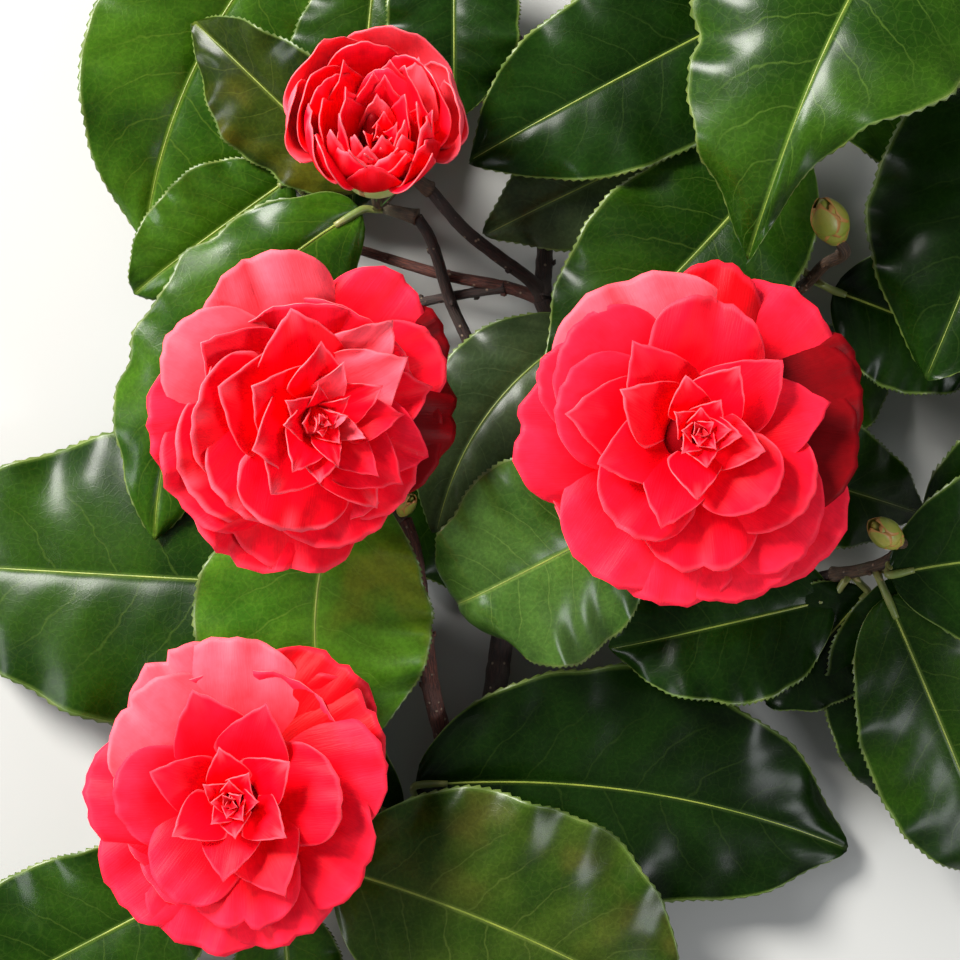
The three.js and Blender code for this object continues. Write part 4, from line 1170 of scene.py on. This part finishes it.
# Kinds of petal. cut is how far its end falls back at its sides and point how straight it does so, fold
# and wave lift its sides, and notch, nib and crease shape the end of its middle line.
SHAPE_PARTS = ("cut", "point", "fold", "wave", "notch", "nib", "crease")
SHAPE_ROWS = {
    "pointed": (0.62, 0.5, 0.05, 0.03, 0, 0.015, 0.05),
    "folded": (0.62, 0.55, 0.2, 0.06, 0, 0.02, 0.06),
    "rounded": (0.42, 0, 0.02, 0.05, 0, 0, 0.04),
    "notched": (0.4, 0, 0.02, 0.05, 0.075, 0, 0.12),
    "creased": (0.42, 0, 0.05, 0.05, 0.02, 0, 0.2),
    "hooded": (0.6, 0, 0, 0.03, 0, 0, 0.03),
    "curled": (0.6, 0.6, 0.42, 0.09, 0, 0.03, 0.1),
    "frilled": (0.4, 0, 0.02, 0.1, 0.03, 0, 0.05),
}
SHAPES = {kind: dict(zip(SHAPE_PARTS, row)) for kind, row in SHAPE_ROWS.items()}


def petal_reach(shape, v, u, phase, uneven):
    """How far along its middle line each point of a petal is, with its end cut to shape."""
    a = np.abs(u)
    cut = shape["cut"] * (shape["point"] * a + (1 - shape["point"]) * (1 - np.sqrt(1 - a * a)))
    frill = 0.010 * np.sin(2 * np.pi * (2.7 * u + phase)) + 0.006 * np.sin(2 * np.pi * (6.9 * u + 3 * phase))
    cut = cut + uneven * u + frill * (1 - u * u)
    cut = cut + shape["notch"] * np.exp(-((u - uneven) / 0.1) ** 2)
    cut = cut - shape["nib"] * np.exp(-(u / 0.08) ** 2)
    return v * (1 - cut * v**0.6)


def petal_lift(shape, v, u, phase, uneven, share, cupping, tilt):
    """How far each point stands out of a petal's plane, as a share of its half width."""
    a = np.abs(u)
    turn = 2 * np.pi * (0.8 * u + phase + 0.3 * v)
    lift = cupping * u * u + shape["fold"] * v * (a - 0.4 * u * u)
    lift = lift - shape["crease"] * v**3 * np.exp(-((u - uneven) / 0.13) ** 2)
    lift = lift - 0.16 * share * (0.4 + v) * a**4
    lift = lift + shape["wave"] * v**2 * (np.sin(turn) + 0.6 * np.sin(2.3 * turn + 5 * phase))
    return lift + tilt * u


def add_petal(heap, bloom, tip, kind, width, steepness, tone, belly=None, offset=None, cupping=None,
              closing=False, low=None):
    """Adds one petal. A closing petal wraps its sides inwards round the bloom. low is its foot's
    height as a share of the bloom's."""
    shape = SHAPES[kind]
    offset = bloom["offset"] if offset is None else offset
    outward = np.array([tip[0] - offset[0], tip[1] - offset[1], 0.0])
    reach = np.linalg.norm(outward)
    outward = outward / max(reach, 1e-6)
    sideways = np.cross(UP, outward)
    share = min(1, reach / bloom["radius"])
    if low is None:
        low = 0.2 if closing else 0.66 - 0.44 * share
    foot = UP * bloom["depth"] * low + outward * (2 + 0.06 * reach)
    length = np.linalg.norm(tip - foot)
    angle = math.radians(steepness)
    bend = tip - (outward * math.cos(angle) + UP * math.sin(angle)) * (belly or bloom["belly"]) * length
    rows = np.append(np.linspace(0.05, 0.96, PETAL_ROWS - 1), 1.0)
    columns = np.sin(0.5 * np.pi * np.linspace(-1, 1, PETAL_COLUMNS))
    v, u = np.meshgrid(rows, columns, indexing="ij")
    phase = dice()
    uneven = dice.between(-0.06, 0.06)
    tilt = bloom.get("unrest", 0.06) * (1 - 0.75 * share) * (2 * dice() - 1)
    half = 0.5 * width * (0.22 + 0.78 * np.sin(0.5 * np.pi * np.minimum(1, v / 0.72)))
    w = petal_reach(shape, v, u, phase, uneven)[..., None]
    spine = foot * (1 - w) ** 2 + bend * 2 * w * (1 - w) + tip * w**2
    tangent = unit((bend - foot) * (1 - w) + (tip - bend) * w)
    normal = np.cross(tangent, sideways)
    cupping = 0.22 - 0.22 * share if cupping is None else cupping
    lift = petal_lift(shape, v, u, phase, uneven, share, cupping, tilt)
    rise = normal if closing else unit(0.25 * normal + UP)
    top = spine + sideways * (u * half)[..., None] + rise * (lift * half)[..., None]
    thickness = PETAL_THICKNESS * (1 - 0.4 * np.maximum(np.abs(u) ** 8, v**12))
    below = top - normal * thickness[..., None]
    top, below = (points @ bloom["turn"].T + bloom["base"] for points in (top, below))
    grain = np.stack([v * length + 60 * phase, u * half + 90 * phase], -1)
    slot = list(PETALS).index(tone)
    add_sheet(heap, top, below, (slot, slot, len(PETALS)), grain, np.stack([v, u], -1))


def open_petals(bloom):
    """The petals of the plan: how far out each tip is, the tip, its kind, its tone and its breadth."""
    for look, *spots in bloom["petals"]:
        kind, _, tone = look.partition(" ")
        for heading, reach, *breadth in spots:
            tip = petal_tip(bloom, heading, reach)
            yield np.hypot(*(tip[:2] - bloom["offset"])), tip, kind, tone, *(breadth or [1.0])


def heart_petals(bloom):
    """The small petals that wind out of a bloom's middle, out of order in a crumpled one, with painted shade
    on the innermost three of an uncrumpled one.
    """
    crumpled = bloom.get("crumpled", False)
    heading = 70.0
    for k in range(bloom["hearts"]):
        heading += GOLDEN_TURN
        reach = 1.3 + 0.6 * k
        if crumpled:
            heading += 47 * math.sin(3.1 * k)
            reach = 0.6 + 0.8 * k
        tip = petal_tip(bloom, heading, reach)
        tip[2] -= dice.between(0.6, 1.8)
        kind = "pointed" if k % 2 else "curled" if crumpled else "folded"
        # Painted shade: the innermost three of an uncrumpled bloom take the shaded tone
        yield reach, tip, kind, "shaded" if k < 3 and not crumpled else "inner", 1.0


def add_guards(heap, bloom):
    """The ring of petals that stays under the rest."""
    for k in range(GUARDS):
        reach = bloom.get("guard", 0.84) * bloom["radius"]
        tip = np.array([*bloom["offset"], 0.0]) + direction(360 * (k + 0.3) / GUARDS) * reach
        tip[2] = tip_height(bloom, reach) - GUARD_DROP
        add_petal(heap, bloom, tip, "rounded", 0.95 * bloom["radius"], 34, "outer", belly=0.62, cupping=0.2,
                  low=0.03)


def add_cup(heap, bloom):
    """The rings of petals that stand round a half open bloom, with painted light making them paler at its
    back and painted shade on the outer ring at its front.
    """
    for ring, share in enumerate(CUP_RINGS):
        offset = np.array(bloom["offset"], float) * (1 - share)
        for number, (heading, reach) in enumerate(bloom["cup"]):
            back = direction(heading + 22 * ring)
            tip = back * reach * share * (1 + 0.05 * back[1])
            tip[:2] += offset
            tip[2] = bloom["depth"] * (1.3 - 0.34 * share + 0.24 * share * back[1])
            kind = "hooded" if ring < 2 else ("pointed", "folded")[number % 2]
            wide = dice.between(1.25, 1.5)
            if ring == 0 and back[1] < 0.3:
                wide = 0.78 * wide
            # Painted light on the back petals and painted shade on the outer ring's front petals
            tone = CUP_BACK_PAINTED_LIGHT[ring] if back[1] > 0.2 else "inner"
            if ring == 0 and back[1] < -0.2:
                tone = "shaded"
            add_petal(heap, bloom, tip, kind, wide * reach * (0.3 + 0.7 * share), 118 - 7 * ring, tone,
                      belly=0.75, offset=offset, cupping=0.4, closing=True)


def add_heart(name, bloom):
    """The dense core that the petals grow out of, in the dark tone as painted shade unless the bloom is
    crumpled.
    """
    heap = Heap()
    t = np.linspace(0, 1, 14)
    centres = bloom["base"] + bloom["axis"] * (0.5 + 0.84 * bloom["depth"] * t)[:, None]
    radius = 0.17 * bloom["radius"] * np.sin(np.pi * (0.18 + 0.8 * t)) ** 0.8 + 0.1
    add_tube(heap, centres, radius, 28, relief=0.05, seed=4)
    # Painted shade: an uncrumpled bloom's core is in the dark tone
    heap.mesh(f"heart_{name}", [PETALS["inner" if "crumpled" in bloom else "dark"]], "petals")


def dress_bloom(name, bloom):
    heap = Heap()
    low, high = bloom["steep"]
    restless = 5 + 50 * bloom.get("unrest", 0.0)
    for out, tip, kind, tone, breadth in [*open_petals(bloom), *heart_petals(bloom)]:
        share = min(1, out / bloom["radius"])
        # Outer petals take lighter tones, partly their own colour and partly painted sheen
        tone = tone or ("inner" if share < INNER_SHARE else "middle" if share < MIDDLE_SHARE else "outer")
        wide = 2.5 + 0.66 * out if SHAPES[kind]["point"] else 3.5 + 0.76 * out
        width = breadth * wide * dice.between(0.94, 1.08)
        steepness = low + (high - low) * share + restless * dice.between(-1, 1)
        add_petal(heap, bloom, tip, kind, width, steepness, tone)
    if "cup" in bloom:
        add_cup(heap, bloom)
    else:
        add_guards(heap, bloom)
    heap.mesh(f"petals_{name}", [*PETALS.values(), PETAL_EDGE], "petals", [name])
    add_heart(name, bloom)


# Calyxes and buds: overlapping scales round a core

def add_scales(heap, base, axis, length, radius, rings, bulge, open_by=0.0):
    """Overlapping scales up a bud or a calyx, each a small cupped sheet."""
    side = unit(np.cross(axis, [0.3, 1, 0.2]))
    other = np.cross(axis, side)
    v, u = np.meshgrid(np.linspace(0, 1, 9), np.linspace(-1, 1, 9), indexing="ij")
    grain = np.stack([v, u], -1)
    for ring, (start, end, count, wide) in enumerate(rings):
        for k in range(count):
            turn = 2 * np.pi * (k / count + 0.5 / count * (ring % 2)) + 0.2 * ring
            at = start + (end - start) * v * (1 - 0.3 * np.abs(u) ** 2.2 * v)
            swing = turn + u * wide * (0.55 + 0.45 * np.sin(np.pi * np.clip(v, 0, 0.9)))
            across = side * np.cos(swing)[..., None] + other * np.sin(swing)[..., None]
            out = radius * bulge(at) + 0.16 * (len(rings) - ring) + open_by * at**2 + 0.25 * v
            middle = base + axis * (length * at)[..., None]
            outer = middle + across * out[..., None]
            inner = middle + across * (out - SCALE_THICKNESS)[..., None]
            add_sheet(heap, outer, inner, (0, 0, 1), 5 * grain, grain, edge_rows=1, edge_columns=1)


def bud_bulge(at):
    return 0.35 + 0.75 * np.sin(np.pi * np.clip(at * 0.86 + 0.12, 0, 1)) ** 0.9 - 0.3 * at**3


def calyx_bulge(at):
    return 0.2 + 0.8 * np.sin(0.5 * np.pi * np.clip(at, 0, 1)) ** 0.8


def dress_calyxes():
    t = np.linspace(0, 1, 8)
    for name, bloom in SEATED.items():
        heap = Heap()
        base = bloom["base"] - bloom["axis"] * (CALYX_HEIGHT + 0.2)
        add_scales(heap, base, bloom["axis"], CALYX_HEIGHT, CALYX_RADIUS * 0.9, CALYX_RINGS, calyx_bulge)
        centres = base + bloom["axis"] * (CALYX_HEIGHT * t)[:, None]
        add_tube(heap, centres, CALYX_RADIUS * 0.8 * calyx_bulge(t), 20)
        heap.mesh(name.replace("bloom", "sepals"), [SEPAL, SEPAL_EDGE], "calyx",
                  [name.replace("bloom", "calyx")])


def dress_buds():
    for name, bud in BUDS.items():
        heap = Heap()
        base = place(bud["base"])
        ahead = place(bud.get("leans", bud["tip"])) - base
        length = np.linalg.norm(ahead)
        axis = ahead / length
        add_scales(heap, base, axis, length, bud["radius"] * 0.86, BUD_RINGS, bud_bulge, bud.get("open", 0.0))
        t = np.linspace(0, 0.97, 14)
        centres = base + axis * (length * t)[:, None]
        add_tube(heap, centres, bud["radius"] * 0.8 * bud_bulge(t), 18)
        heap.mesh(f"scales_{name}", [BUD_SCALE, BUD_SCALE_EDGE], "bud_scales", [name])


# Set and light

def add_lamp(name, away, size, power, colour):
    light = bpy.data.lights.new(name, "AREA")
    light.shape = "DISK"
    light.size = size
    light.energy = power
    light.color = colour
    lamp = add_object(name, light)
    lamp.location = (SHIFT[0] * 0.001 + away[0], SHIFT[1] * 0.001 + away[1], away[2])
    flat = math.hypot(away[0], away[1])
    lamp.rotation_euler = (math.atan2(flat, away[2] - AIM_HEIGHT), 0, math.atan2(away[0], -away[1]))


def set_stage():
    mesh = bpy.data.meshes.new("floor")
    corners = [(-FLOOR, -FLOOR, 0), (FLOOR, -FLOOR, 0), (FLOOR, FLOOR, 0), (-FLOOR, FLOOR, 0)]
    mesh.from_pydata(corners, [], [(0, 1, 2, 3)])
    floor = add_object("floor", mesh)
    mesh.materials.append(Paint("floor").finish(FLOOR_COLOUR, 0.9))
    world = bpy.data.worlds.new("studio")
    bpy.context.scene.world = world
    world.use_nodes = True
    sky = world.node_tree.nodes["Background"].inputs
    sky["Color"].default_value = SKY_COLOUR
    sky["Strength"].default_value = SKY_STRENGTH
    bpy.context.scene.view_settings.view_transform = "Standard"
    for name, lamp in LAMPS.items():
        add_lamp(name, *lamp)


def set_camera():
    data = bpy.data.cameras.new("camera")
    data.sensor_width = SENSOR
    data.lens = SENSOR * EYE_ABOVE_BLOOMS / FRAME_WIDTH
    data.clip_start = 0.01
    camera = add_object("camera", data)
    camera.location = (SHIFT[0] * 0.001, SHIFT[1] * 0.001, (BLOOM_LEVEL + EYE_ABOVE_BLOOMS) * 0.001)
    bpy.context.scene.camera = camera


set_camera()
set_stage()
dress_limbs()
dress_spray_stems()
dress_leaves()
for bloom_name, seated_bloom in SEATED.items():
    dress_bloom(bloom_name, seated_bloom)
dress_calyxes()
dress_buds()

bpy.context.view_layer.update()
